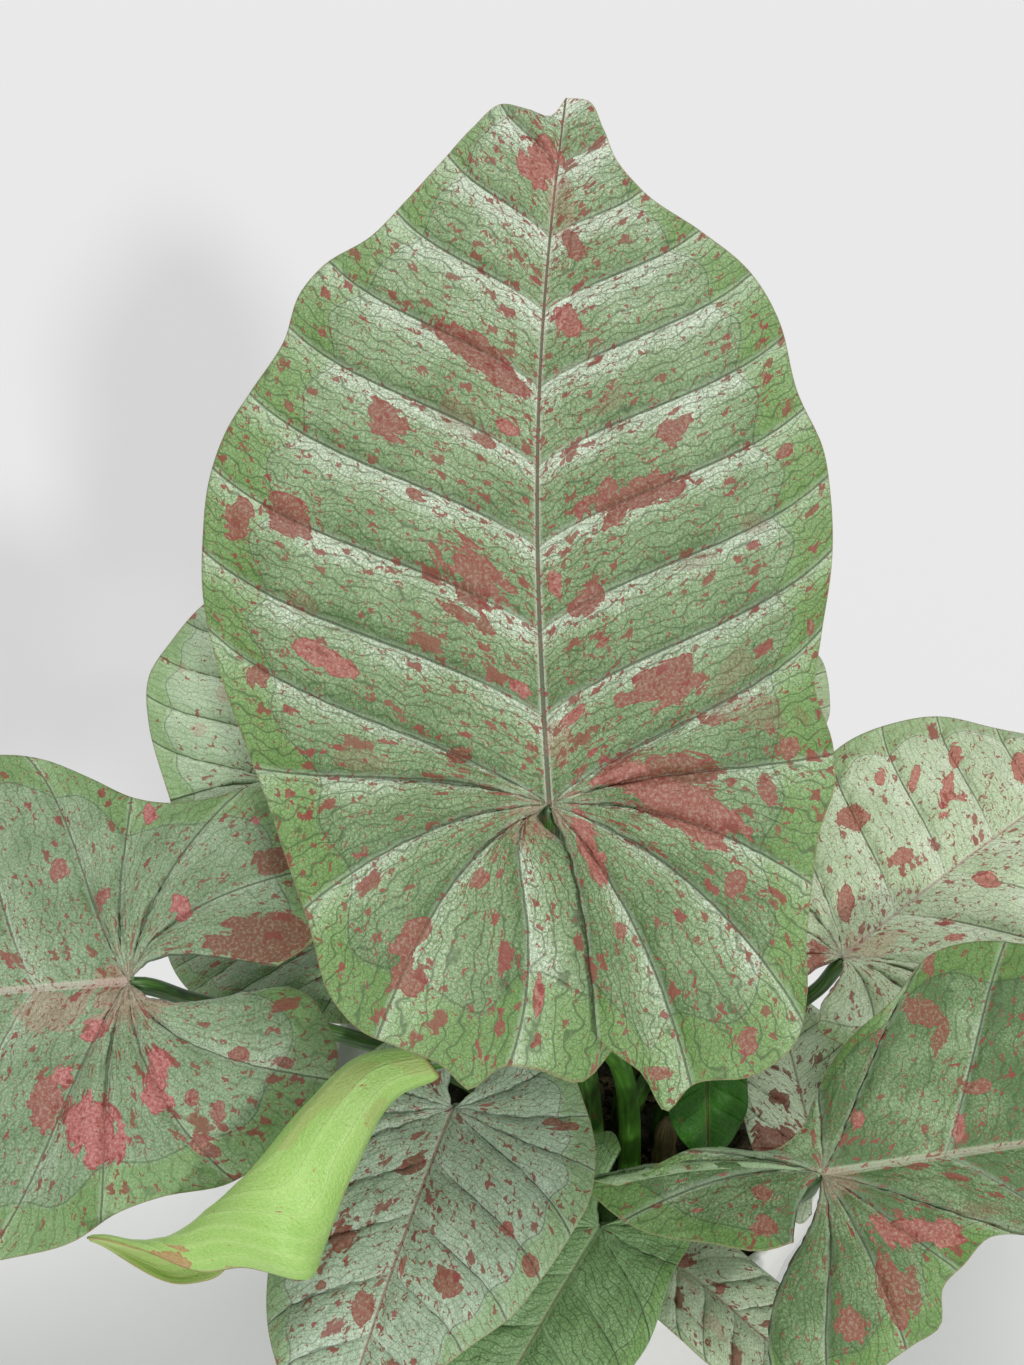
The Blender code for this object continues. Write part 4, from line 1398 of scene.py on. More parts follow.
@dataclass
class Stalk:
    """A round stalk along a line of points, with a shallow channel up its front."""

    name: str
    line: Array
    radii: Array
    finish: StalkFinish
    slot: str
    seed: int = 1
    channel: float = 0.0
    knobble: float = 0.03

    AROUND = 20
    ALONG = 72
    CAP_SIZES = np.array([0.02, 0.55, 0.9])
    CAP_STEPS = np.array([0.5, 0.42, 0.22])[:, None]
    SIDEWAYS = (0.23, -0.97, 0.05)
    GROOVE = (0.5 * np.pi, 0.45)
    KNOBS = (2.0, 6.0)
    APART = 17.0

    def build(self) -> None:
        """Makes the tube: rings square to a smooth line through the points, each turned by the
        one frame that never rolls, closed by a rounded end."""
        at = through(np.column_stack([self.line, self.radii]), np.linspace(0, 1, self.ALONG), 3)
        centre, radius = at[:, :3], at[:, 3]
        run = unit(np.gradient(centre, axis=0))
        side = unit(np.cross(run, unit(np.array(self.SIDEWAYS))))
        front = np.cross(side, run)
        foot = centre[:1] - run[:1] * radius[0] * self.CAP_STEPS
        head = centre[-1:] + run[-1:] * radius[-1] * self.CAP_STEPS[::-1]
        centre = np.vstack([foot, centre, head])
        caps = self.CAP_SIZES
        radius = np.concatenate([radius[0] * caps, radius, radius[-1] * caps[::-1]])
        side, front = (np.pad(a, ((3, 3), (0, 0)), mode="edge") for a in (side, front))
        turn = np.arange(self.AROUND + 1) % self.AROUND * CIRCLE / self.AROUND
        out = np.cos(turn)[:, None] * side[:, None] + np.sin(turn)[:, None] * front[:, None]
        groove = 1 - self.channel * np.exp(-(((turn - self.GROOVE[0]) / self.GROOVE[1]) ** 2))
        knobs = swells(centre[:, None] + self.KNOBS[0] * out, self.KNOBS[1], self.seed)
        size = radius[:, None] * groove * (1 + self.knobble * knobs)
        place = centre[:, None] + out * size[..., None]
        length = np.cumsum(np.linalg.norm(np.diff(centre, axis=0, prepend=centre[:1]), axis=1))
        around = np.linspace(0, 1, self.AROUND + 1) * CIRCLE * radius.mean()
        apart = self.APART * self.seed
        flat = np.stack(np.broadcast_arrays(around, length[:, None], apart), -1)
        triangles = sheet_triangles(*flat.shape[:2])[:, ::-1]
        skin = closed(place.reshape(-1, 3) * MM, triangles, {"flat": flat.reshape(-1, 3)})
        coat = self.finish.build(self.name + "_finish")
        skin.dress(self.name + "_dressed", self.name, coat, self.slot)


@dataclass(frozen=True)
class StalkPlan:
    """How a petiole rises: the same line as its solid's, in millimetres."""

    SOIL_TOP = 85.0
    DEPTH = 12.0
    POINTS = 9
    SWELL = 1.5
    STRAIGHT = 1.0
    HANDLE = 0.34
    RUN = 4.5
    ARRIVE = (0.5, 0.85)
    UNDER = 0.3
    CLEAR = 0.65

    @classmethod
    def rise(cls, foot: tuple, top: Array, leave: float, arrive: Array) -> Array:
        """Straight up out of the soil, then a cubic that leaves upright and arrives along a way.

        Args:
            foot: Where it leaves the soil, (x, y).
            top: Where it ends.
            leave: How long it keeps upright, as a share of its rise.
            arrive: The direction it arrives in.

        Returns:
            Points of the line.
        """
        low = np.array([*foot, cls.SOIL_TOP - cls.DEPTH])
        start = np.array([*foot, cls.SOIL_TOP + cls.STRAIGHT])
        rise = np.linalg.norm(top - start)
        first = start + np.array([0.0, 0.0, leave * rise])
        second = top - cls.HANDLE * rise * unit(arrive)
        t = np.linspace(0, 1, cls.POINTS)[:, None]
        return np.vstack([low, cubic(start, first, second, top, t)])

    @classmethod
    def radii(cls, radius: float) -> Array:
        """Radii along the rise: swollen at the soil, then slimming."""
        radii = radius * (1 + (cls.SWELL - 1) * np.linspace(1, 0, cls.POINTS) ** 2)
        return np.insert(radii, 0, radii[0])

    @classmethod
    def petiole(cls, form: LeafForm) -> tuple[Array, Array]:
        """A leaf's petiole: up to the junction, and a short way on under the midrib.

        Args:
            form: The leaf.

        Returns:
            Points and radii.
        """
        _, tip, up = form.axes
        junction, slender = np.array(form.junction), 0.5 * form.stalk
        top = junction - (cls.CLEAR + form.stalk) * up
        end = junction - (cls.CLEAR + slender + cls.UNDER) * up + cls.RUN * form.stalk * tip
        arrive = np.array(form.arrive) if form.arrive else cls.ARRIVE[0] * tip + cls.ARRIVE[1] * up
        line = cls.rise(form.foot, top, form.leave, arrive)
        middle = 0.5 * (top + end) - 0.5 * cls.UNDER * up
        radii = np.append(cls.radii(form.stalk), [1.5 * slender, slender])
        return np.vstack([line, middle, end]), radii


@dataclass
class RolledBlade:
    """The newest leaf, lime green and still rolled into a loose open cone.

    Each station is a centre, a radius, and the angles in degrees of the sheet's outer and inner
    edges, from the roll's side to its front.
    """

    finish: LeafFinish
    splashes: tuple[Splash, ...] = ()
    stations: tuple = (
        (-26.8, -47.7, 160.5, 2.9, -80.0, 255.0),
        (-34.1, -49.7, 159.8, 4.0, -80.0, 255.0),
        (-41.7, -56.2, 153.6, 6.0, -80.0, 255.0),
        (-47.8, -63.5, 146.4, 8.1, -70.0, 255.0),
        (-50.6, -67.2, 143.6, 9.0, 10.0, 258.0),
        (-56.3, -68.1, 141.0, 7.0, 58.0, 275.0),
        (-63.5, -68.4, 137.4, 5.0, 74.0, 330.0),
        (-69.9, -67.5, 135.4, 4.4, 135.0, 340.0),
        (-76.0, -65.7, 136.0, 3.0, 145.0, 300.0),
        (-79.6, -64.6, 135.7, 1.9, 158.0, 222.0),
    )
    side: tuple = (0.646, -0.572, -0.505)
    front: tuple = (0.116, -0.581, 0.806)
    tighten: float = 0.14
    rows: int = 110
    winds: int = 70
    bays: float = 9.0

    LENGTH, GIRTH = 72.0, 44.0
    APART = 11.0
    VEINED_APART = 60.0
    NO_RIB, NO_HOOP = 30.0, 9.0
    VEIN_CLEAR = 0.1
    HALF_THICK, RIM_THICK, RIM_ZONE = 0.34, 0.12, 1.2
    RIB = (0.10, 0.5, 1.5)

    def sheet(self) -> Sheet:
        """The roll's middle surface: each ring's radius shrinks a little towards its inner edge,
        and low ribs run along the roll.

        Returns:
            The sheet, ready to be closed.
        """
        s, v = np.meshgrid(
            np.linspace(0, 1, self.rows + 1), np.linspace(0, 1, self.winds + 1), indexing="ij"
        )
        at = through(self.stations, s, 3)
        wind = np.radians(at[..., 4] + (at[..., 5] - at[..., 4]) * v)
        radius = at[..., 3] * (1 - self.tighten * eased(v, 0.6, 1.0))
        place = at[..., :3] + (radius * np.cos(wind))[..., None] * np.array(self.side)
        place = (place + (radius * np.sin(wind))[..., None] * np.array(self.front)) * MM
        girth = at[..., 3] * np.radians(at[..., 5] - at[..., 4])
        along, across = s * self.LENGTH, v * self.GIRTH
        part = self.bays * v - np.floor(self.bays * v)
        gap = np.minimum(part, 1 - part) * girth / self.bays
        edge = np.minimum(np.minimum(v, 1 - v) * girth, np.minimum(s, 1 - s) * self.LENGTH)
        same = np.ones_like(s)
        carried = {
            "flat": np.stack([across, along, self.APART * same], -1),
            "veined": np.stack([across + self.VEINED_APART, along, part], -1),
            "nerve": np.stack(
                [gap + self.VEIN_CLEAR, self.NO_RIB * same, self.NO_HOOP * same], -1
            ),
            "edge": np.stack([edge, v, s], -1),
        }
        carried = {key: value.reshape(-1, 3) for key, value in carried.items()}
        flat, place = carried["flat"][:, :2], place.reshape(-1, 3)
        carried["splash"] = marked(self.splashes, flat, place)
        half = self.HALF_THICK - self.RIM_THICK
        half = self.RIM_THICK + half * eased(edge, 0.0, self.RIM_ZONE)
        depth, width, zone = self.RIB
        rib = depth * np.exp(-((gap / width) ** 2)) * eased(edge, 0.0, zone)
        return Sheet(
            places=place,
            triangles=sheet_triangles(*s.shape),
            edges=sheet_edges(*s.shape, "brtl"),
            above=(half + rib).ravel() * MM,
            below=(half - 0.5 * rib).ravel() * MM,
            carried=carried,
            maps={"blade": flat * MM},
        )

    def build(self) -> None:
        """Makes and dresses the roll."""
        coat = self.finish.build("leaf_f_blade_finish")
        self.sheet().skin().dress("leaf_f_dressed_blade", "leaf_f_blade", coat, "new_leaf")


def arrow(
    length: float,
    width: float,
    lobe: float,
    splay: float = 24.0,
    waist: float = 0.06,
    widest: float = 0.30,
) -> tuple[tuple[float, float], ...]:
    """A plain arrowhead leaf's side margin: lobe, waist, shoulder and tapering tip.

    Args:
        length: Junction to tip, in millimetres.
        width: The half's greatest width.
        lobe: How far the lobe reaches back.
        splay: The lobe's turn outward, in degrees.
        waist: How far the side draws in beside the junction, as a share of the width.
        widest: Where the half is widest, as a share of the length.

    Returns:
        Points as (out, along), from the lobe's inner corner to the tip.
    """

    def lobe_point(reach: float, angle: float) -> tuple[float, float]:
        """A place on the lobe, from its reach and its turn."""
        return (reach * np.sin(np.radians(angle)), -reach * np.cos(np.radians(angle)))

    return (
        lobe_point(0.80 * lobe, splay - 8),
        lobe_point(lobe, splay),
        lobe_point(0.97 * lobe, splay + 22),
        ((0.90 - waist) * width, -0.40 * lobe),
        ((0.96 - waist) * width, 0.04 * length),
        (width, widest * length),
        (0.93 * width, (widest + 0.22) * length),
        (0.70 * width, (0.5 * widest + 0.56) * length),
        (0.36 * width, 0.87 * length),
        (0.10 * width, 0.965 * length),
        (0.0, length),
    )


LEAF_A = LeafForm(
    name="leaf_a", junction=(-8, -35, 204), heading=0, pitch=38, roll=0,
    right=(
        (6.5, -33.5), (9.5, -36), (13, -38.5), (16.7, -44), (20, -40.5), (29, -39), (35, -34.5),
        (37, -28), (37.2, -20), (38, -13), (39.5, -3.5), (42, 3), (42.3, 9), (40.6, 17.5), (42, 25),
        (44.4, 38), (44.7, 47), (44, 55.5), (40, 65.5), (37, 76.5), (32, 85.5), (24, 93.5), (14, 101),
        (9.7, 106), (6.8, 112.5), (3.4, 118.5), (0, 119),
    ),
    left=(
        (-11.5, -31), (-8.5, -36), (-4.4, -40), (1.4, -38.3), (7, -37.8), (12, -41), (15, -38),
        (21.3, -35.2), (27.7, -32.4), (31.4, -28.2), (34.7, -18.2), (39, -6.6), (44, 8), (49, 23.6),
        (50.8, 33), (51, 41), (50.2, 50.7), (48, 58), (44.6, 64.7), (40.6, 73), (38.5, 83), (35.7, 87),
        (28.3, 92), (24, 97.5), (18.7, 106), (14.7, 113), (10.4, 118), (6, 116.8), (2.2, 115.4),
        (0, 119),
    ),
    foot=(2, -18), fan=(0.42, 0.42), mouth=((15, 0.30, -8, 0.35), (87, 0.28, 28, 0.80)),
    bend=(-2.3, 3.4), arch=0.08, lift=(1.2, -2.4), wave=(1, 5, 0.3), quilt=1, fans=5, laterals=7,
    veins=(5, 9), vein_fan=(0.475, 0.485), stalk=1.6,
)
LEAF_B = LeafForm(
    name="leaf_b", junction=(-79, -21.5, 149.5), heading=-88, pitch=-8, roll=24,
    right=(
        (0.8, -26), (5, -31.5), (12, -34.5), (22, -33), (30, -28), (33.5, -22), (32.2, -14.5),
        (32.2, -7), (34.3, 1.5), (38.7, 10), (42.7, 19), (44.3, 28), (43, 42), (37, 58), (27, 73),
        (15, 87), (4, 98), (0, 101),
    ),
    left=(
        (2, -27), (4, -31), (8, -34), (16.3, -36.9), (25.4, -30.7), (31.6, -24.6), (34.8, -19),
        (36.9, -8.3), (39.5, -1), (43, 5), (45, 17), (45.5, 30), (43, 45), (37, 60), (27, 74), (15, 88),
        (4, 98), (0, 101),
    ),
    foot=(-7.5, -16), mouth=((62, 0.33, -12, 0.33), (55, 0.33, -12, 0.33)), lobe_arch=0.15,
    wave=(1.6, 3.5, 0.1), quilt=1, stalk=1.4, fans=4, laterals=5, veins=(4, 6),
)
LEAF_C = LeafForm(
    name="leaf_c", junction=(48, 0.5, 131), heading=49, pitch=6, roll=-8,
    right=(
        (4, -10), (7, -14), (11.7, -13.5), (18, -11), (26, -6), (32, 4), (36, 16), (38, 30), (36, 46),
        (30, 60), (20, 74), (8, 85), (0, 90),
    ),
    left=(
        (1, -24), (7, -30.5), (17, -29.5), (26, -20), (30, -8), (31.5, 4), (32.5, 16), (34, 28),
        (34.6, 40), (31.8, 51.5), (27, 63.5), (20, 71), (12, 79), (4, 86), (0, 90),
    ),
    foot=(15.5, -7.5), mouth=((40, 0.33, -12, 0.33), (20, 0.33, -8, 0.33)), arch=0.15,
    wave=(1.4, 3, 0.4), quilt=1, stalk=1.4, fans=4, laterals=5, veins=(4, 6), leave=0.62,
)
LEAF_D = LeafForm(
    name="leaf_d", junction=(37.5, -50, 134.5), heading=82, pitch=4, roll=-22,
    right=(
        (27, -14), (33, -14.5), (38, -10), (35, -3), (31, 2.5), (28.5, 8), (26.5, 12.8), (21, 14.5),
        (17.9, 19), (14, 25), (14.5, 31), (18, 39), (20, 48), (18, 60), (11, 72), (3, 81), (0, 84),
    ),
    left=(
        (-10.5, -7.5), (-11, -12), (-8, -20.6), (-4, -30.6), (1, -36), (5.8, -39), (3.6, -33), (6, -26),
        (7.4, -20), (6, -13), (5.2, -6.5), (8, -1.5), (13, 2), (20, 8), (27, 19), (34.5, 28), (36, 38),
        (33, 49), (26, 61), (14, 73), (3, 82), (0, 84),
    ),
    foot=(16, -21), fan=(0.50, 0.56), mouth=((18, 0.33, 28, 0.42), (34, 0.36, -20, 0.36)), sweep=0.35,
    arch=0.14, lift=(-1.5, 1.5), wave=(1.3, 3.5, 0.6), quilt=0.8, fans=6, laterals=5, veins=(4, 4),
    vein_fan=(0.52, 0.60), stalk=1.4, arrive=(0.12, -0.12, 1), leave=0.25,
)
LEAF_G = LeafForm(
    name="leaf_g", junction=(-23.5, -36, 134), heading=198, pitch=-4, roll=-4,
    right=(
        (3, -11), (8, -14.5), (13.5, -12.5), (17.5, -6), (18.5, 4), (20, 16), (20.5, 27), (19.5, 36),
        (17, 43), (12.5, 49.5), (6, 56), (0, 61),
    ),
    left=(
        (4, -10.5), (8, -13.5), (13.5, -12.5), (18, -11), (21, -7), (25, 0), (27, 6), (27.7, 12),
        (26.3, 18), (23.6, 26), (21, 33), (16, 40), (10.5, 47), (4.5, 55), (0, 61),
    ),
    foot=(-3, -22.5), arch=0.15, wave=(1, 3, 0.2), quilt=0.7, stalk=1.3, fans=4, laterals=5,
    veins=(4, 6),
)
LEAF_E = LeafForm(
    name="leaf_e", junction=(-55, 13, 163), heading=-12, pitch=34, roll=8, right=arrow(44, 19, 15),
    left=arrow(44, 22.5, 15, widest=0.36), foot=(-3.5, -4.5), arch=0.10, stalk=1.3,
)
LEAF_H = LeafForm(
    name="leaf_h", junction=(2, -43.3, 110), heading=213, pitch=-10, roll=0, right=arrow(50, 18, 18.5),
    left=arrow(50, 17.5, 20), foot=(4, -26), arch=0.16,
)
LEAF_I = LeafForm(
    name="leaf_i", junction=(15.4, -44.6, 101), heading=132, pitch=-3, roll=4,
    right=arrow(33.5, 11.8, 9.5), left=arrow(33.5, 10.5, 9), foot=(10.5, -25.5), arch=0.12,
    wave=(0.7, 3, 0.5),
)
LEAF_J = LeafForm(
    name="leaf_j", junction=(42, -29, 108), heading=-5, pitch=8, roll=0, right=arrow(44, 15, 11),
    left=arrow(44, 12, 12), foot=(22.5, -13), arch=0.16, wave=(1, 3, 0),
)
LEAF_K = LeafForm(
    name="leaf_k", junction=(22, -16.5, 122), heading=175, pitch=-62, roll=0, right=arrow(21, 7.5, 8),
    left=arrow(21, 7.5, 8), foot=(9, -9.5), arch=0.05, leave=0.6,
)
LEAF_L = LeafForm(
    name="leaf_l", junction=(-22, 28, 145), heading=-18, pitch=8, roll=4, right=arrow(84, 31, 32),
    left=arrow(84, 30, 31), foot=(2, -1.5), arch=0.22, wave=(1.5, 3.5, 0.3), stalk=1.4,
)
LEAF_M = LeafForm(
    name="leaf_m", junction=(21, 30, 158), heading=8, pitch=-6, roll=-4, right=arrow(76, 26, 26),
    left=arrow(76, 27, 27), foot=(8.5, -2), arch=0.22, wave=(1.4, 3.5, 0.7), stalk=1.4,
)
LEAF_N = LeafForm(
    name="leaf_n", junction=(-39, 10, 122), heading=-62, pitch=-12, roll=4, right=arrow(58, 21, 20),
    left=arrow(58, 21, 20), foot=(-7.5, -9.5), arch=0.18, wave=(1, 3, 0.9),
)

A_SPLASHES = splashes(
    rose=(
        (540, 158, 34, 50, 8), (565, 320, 24, 40, 40), (624, 772, 60, 16, 18), (330, 660, 58, 20, -30),
        (553, 583, 14, 24), (588, 850, 22, 100, 16), (541, 1000, 12, 48), (510, 427, 26, 16, -36),
        (520, 690, 22, 12, -40), (575, 715, 30, 12, 40),
    ),
    rust=(
        (575, 245, 16, 34, 30), (490, 365, 108, 26, -38), (385, 420, 54, 30, -40),
        (640, 497, 96, 32, 14), (606, 490, 50, 30, 46), (618, 518, 44, 20, 56),
        (470, 572, 100, 38, -44), (662, 682, 84, 38, 24), (628, 702, 44, 16, 10), (240, 520, 30, 42),
        (290, 522, 60, 38, -32), (258, 677, 25, 30), (675, 428, 42, 24, 40), (583, 603, 36, 24, 36),
        (410, 935, 42, 20, 40), (410, 982, 35, 44, 10), (738, 882, 24, 28, -20), (769, 792, 16, 28, 20),
        (788, 742, 18, 22), (766, 726, 16, 12), (710, 721, 30, 12, -20), (785, 455, 18, 10, 40),
        (810, 624, 10, 20), (748, 1045, 20, 26), (655, 1075, 34, 14), (486, 439, 22, 10, -36),
        (600, 640, 20, 10, 38), (420, 500, 22, 10, -36), (620, 930, 14, 26, 20), (480, 880, 26, 14, 50),
    ),
    brown=(
        (480, 592, 40, 36, -30), (462, 619, 70, 18, -28), (676, 768, 100, 28, -14),
        (457, 758, 26, 18, 20),
    ),
    salmon=((664, 795, 150, 40, -30), (700, 825, 70, 36, -34)),
    tan=(
        (455, 412, 46, 38, -30), (730, 670, 34, 30, 30), (755, 716, 76, 40, -16), (754, 527, 24, 16),
        (612, 395, 40, 16, 42), (360, 760, 60, 20, -12), (300, 600, 40, 20, -34),
        (700, 560, 36, 18, 36),
    ),
    flush=((560, 745, 26, 40), (545, 820, 60, 40), (560, 200, 22, 60)),
)
B_SPLASHES = splashes(
    rose=(
        (95, 1030, 32, 24, 20), (160, 1080, 30, 50), (95, 1130, 60, 62, 20), (65, 1080, 18, 22),
        (155, 815, 12, 22), (255, 820, 10, 14), (180, 900, 18, 26, 20),
    ),
    rust=(
        (50, 1100, 34, 50, 20), (190, 1100, 16, 20), (216, 1112, 14, 20), (205, 1150, 42, 20, -20),
        (240, 1055, 18, 12), (285, 1065, 22, 12), (100, 900, 26, 14, 50), (60, 870, 20, 26),
    ),
    brown=((262, 944, 92, 54, 12), (270, 862, 34, 24, 20)),
    flush=((122, 1000, 90, 56, 10), (60, 1010, 80, 40)),
)
C_SPLASHES = splashes(
    rust=((848, 819, 32, 24), (848, 900, 14, 32), (900, 860, 24, 12, 20)),
    rose=(
        (956, 758, 14, 22), (948, 792, 16, 42, -20), (914, 777, 10, 30, -10), (1016, 769, 14, 28),
        (987, 882, 28, 14, -10), (945, 925, 18, 12), (952, 941, 16, 10), (960, 800, 20, 12),
        (880, 780, 14, 20),
    ),
    flush=((872, 944, 72, 26, 8),),
    salmon=((817, 965, 24, 44),),
)
D_SPLASHES = splashes(
    rose=(
        (915, 1230, 92, 30, -4), (957, 1130, 12, 30), (700, 1215, 15, 8), (680, 1165, 12, 12),
        (619, 1233, 8, 10), (860, 1120, 14, 22),
    ),
    rust=(
        (893, 1290, 22, 70, 14), (850, 1325, 26, 30), (883, 1040, 15, 20), (975, 1085, 26, 15),
        (930, 965, 10, 26), (765, 1195, 15, 15), (755, 1225, 25, 20),
    ),
    brown=((915, 1290, 10, 42, 8), (917, 1012, 52, 26, -28), (935, 1036, 16, 42, -6)),
    flush=((835, 1182, 50, 30),),
    tan=((980, 1210, 40, 16),),
)
E_SPLASHES = splashes(
    rose=((190, 615, 12, 12),),
    flush=((182, 670, 10, 12), (198, 728, 12, 12), (225, 690, 10, 18)),
)
F_SPLASHES = splashes(
    tan=((340, 1085, 90, 16, 42), (372, 1112, 50, 10, 55), (300, 1130, 50, 8, 48), (418, 1066, 50, 22)),
    salmon=((163, 1264, 34, 20),),
    rose=((180, 1278, 16, 8),),
)
G_SPLASHES = splashes(
    rust=(
        (342, 1240, 30, 30), (362, 1305, 20, 36), (450, 1280, 26, 24), (555, 1125, 42, 12, -6),
        (530, 1265, 14, 18), (430, 1080, 26, 12), (322, 1285, 18, 12),
    ),
    brown=((410, 1165, 36, 20, 20),),
    rose=((508, 1235, 14, 22), (405, 1262, 8, 26, -20), (347, 1258, 10, 10)),
)
I_SPLASHES = splashes(
    salmon=((682, 1262, 24, 12),),
    rose=((720, 1290, 8, 8), (745, 1320, 10, 8)),
    flush=((712, 1325, 40, 14, -50), (690, 1285, 30, 10, -50)),
)
J_SPLASHES = splashes(
    salmon=((776, 1142, 64, 44, 24),),
    brown=((780, 1100, 22, 15),),
    rose=((800, 1090, 12, 8),),
)
HIDDEN_SPLASHES = splashes(
    rust=((330, 470, 40, 26), (430, 520, 26, 22)),
    rose=((600, 420, 36, 24),),
    brown=((660, 560, 30, 18),),
)

MINT = LeafFinish(
    pale=(230, 240, 216), mid=(192, 210, 172), deep=(140, 168, 118), flecks=0.42, balance=0.62,
    rose=(196, 118, 104), brown=(158, 100, 80), band_and_shade=0.16, rib_size=0.6, rib_line=0.3, net=0.6,
)
MOTTLED = LeafFinish(balance=0.38, flecks=0.56, red_rib=0.6, pale_tip=0.22)
DUSKY = LeafFinish(
    net=0.85, balance=0.30, flecks=0.34, band_and_shade=0.2, cloud=0.7, rib=(206, 214, 184), rib_size=0.9,
    rib_line=0.25,
)
RED = LeafFinish(
    pale=(214, 226, 204), mid=(150, 174, 138), deep=(94, 124, 80), rib=(222, 214, 198),
    rose=(200, 112, 116), flecks=0.48, red_rib=0.4, balance=0.50, band_and_shade=0.16, rib_size=0.9,
    rib_line=0.2, net=0.65,
)
# Leaf J's own pale mint, made paler still: painted light that makes up for the shade J sits in under
# the leaves over it.
PALE = LeafFinish(
    pale=(246, 252, 238), mid=(230, 242, 214), deep=(198, 218, 180), flecks=0.2, balance=0.66, net=0.6,
    band_and_shade=0.12, rib_size=0.5, rib_line=0.4,
)
VEILED = LeafFinish(
    pale=(226, 236, 214), mid=(196, 212, 180), deep=(158, 180, 140), flecks=0.08, balance=0.56, net=0.5,
    band_and_shade=0.12, rib=(190, 188, 164), rib_size=0.6, rib_line=0.3,
)
SOFT = LeafFinish(
    pale=(194, 212, 180), mid=(166, 190, 152), deep=(138, 166, 122), flecks=0.06, balance=0.6, net=0.6,
)
GREY = LeafFinish(
    pale=(212, 228, 210), mid=(174, 196, 168), deep=(126, 152, 118), flecks=0.36, balance=0.58,
    nerve=(70, 66, 44), rib=(196, 180, 158), band_and_shade=0.12, rib_size=0.6, rib_line=0.5, net=0.7,
)
PLAIN = LeafFinish(
    pale=(178, 208, 160), mid=(152, 186, 132), deep=(120, 158, 98), rib=(180, 208, 156),
    rim=(132, 164, 112), under=(84, 118, 62), flecks=0.03, red_rib=0.0, balance=0.45, band_and_shade=0.12,
    rib_size=0.6, rib_line=0.4,
)
DARK = LeafFinish(
    pale=(78, 140, 36), mid=(54, 116, 20), deep=(38, 94, 12), rib=(60, 122, 28), nerve=(34, 78, 14),
    rim=(56, 112, 26), under=(44, 106, 14), flecks=0.02, red_rib=0.0, band_and_shade=0.1, net=0.6,
)
LIME = LeafFinish(
    pale=(198, 228, 150), mid=(176, 214, 122), deep=(150, 196, 94), nerve=(150, 184, 100),
    rib=(214, 232, 170), rose=(190, 140, 96), brown=(176, 160, 104), crimson=(176, 118, 84),
    rim=(160, 98, 66), under=(196, 214, 138), flecks=0.04, net=0.5, red_rib=0.0, margin=0.0,
    balance=0.50, band_and_shade=0.08, roughness=0.34, rim_width=0.7, step=1.5,
)

GREEN_STALK = StalkFinish()
LIME_STALK = StalkFinish(base=(58, 104, 30), streak=(88, 136, 48), dark=(36, 74, 18), specks=0.03)
STEM_BARK = StalkFinish(
    base=(96, 84, 50), streak=(140, 118, 80), dark=(50, 44, 26), speck=(60, 42, 26), specks=0.5,
    roughness=0.7,
)


@dataclass(frozen=True)
class PotFinish:
    """Plain white moulded plastic. Colours are screen values from 0 to 255."""

    body: tuple = (226, 226, 222)
    worn: tuple = (208, 207, 200)
    dust: tuple = (120, 104, 84)
    roughness: float = 0.38

    DUST_ZONE = (0.03, 0.0)
    DUST_CHANCE = (0.12, 0.015)
    BUMP = (0.15, 0.00006)

    def build(self) -> Material:
        """Wires the material: faint clouds, dust in specks, and a fine orange-peel skin.

        Returns:
            The material.
        """
        w = Coat("pot_finish", "3D")
        place = w.node("ShaderNodeTexCoord", {}).outputs["Object"]
        cloud = w.noise(place, 40.0, 3.0)
        colour = w.mix(w.times(w.span(cloud, 0.5, 0.75), 0.4), self.body, self.worn)
        away, chances = w.cells(w.drift(place, 200.0, 0.004), 260.0)
        chance = w.line(w.span(w.parts(place)[2], *self.DUST_ZONE), *self.DUST_CHANCE)
        luck = w.math("LESS_THAN", w.parts(chances)[0], chance)
        speck = w.times(luck, w.span(away, 0.22, 0.1))
        colour = w.mix(w.times(speck, 0.7), colour, self.dust)
        gloss = w.line(cloud, 0.16, self.roughness - 0.08)
        return w.finish(colour, gloss, w.noise(place, 900.0, 2.0), self.BUMP)


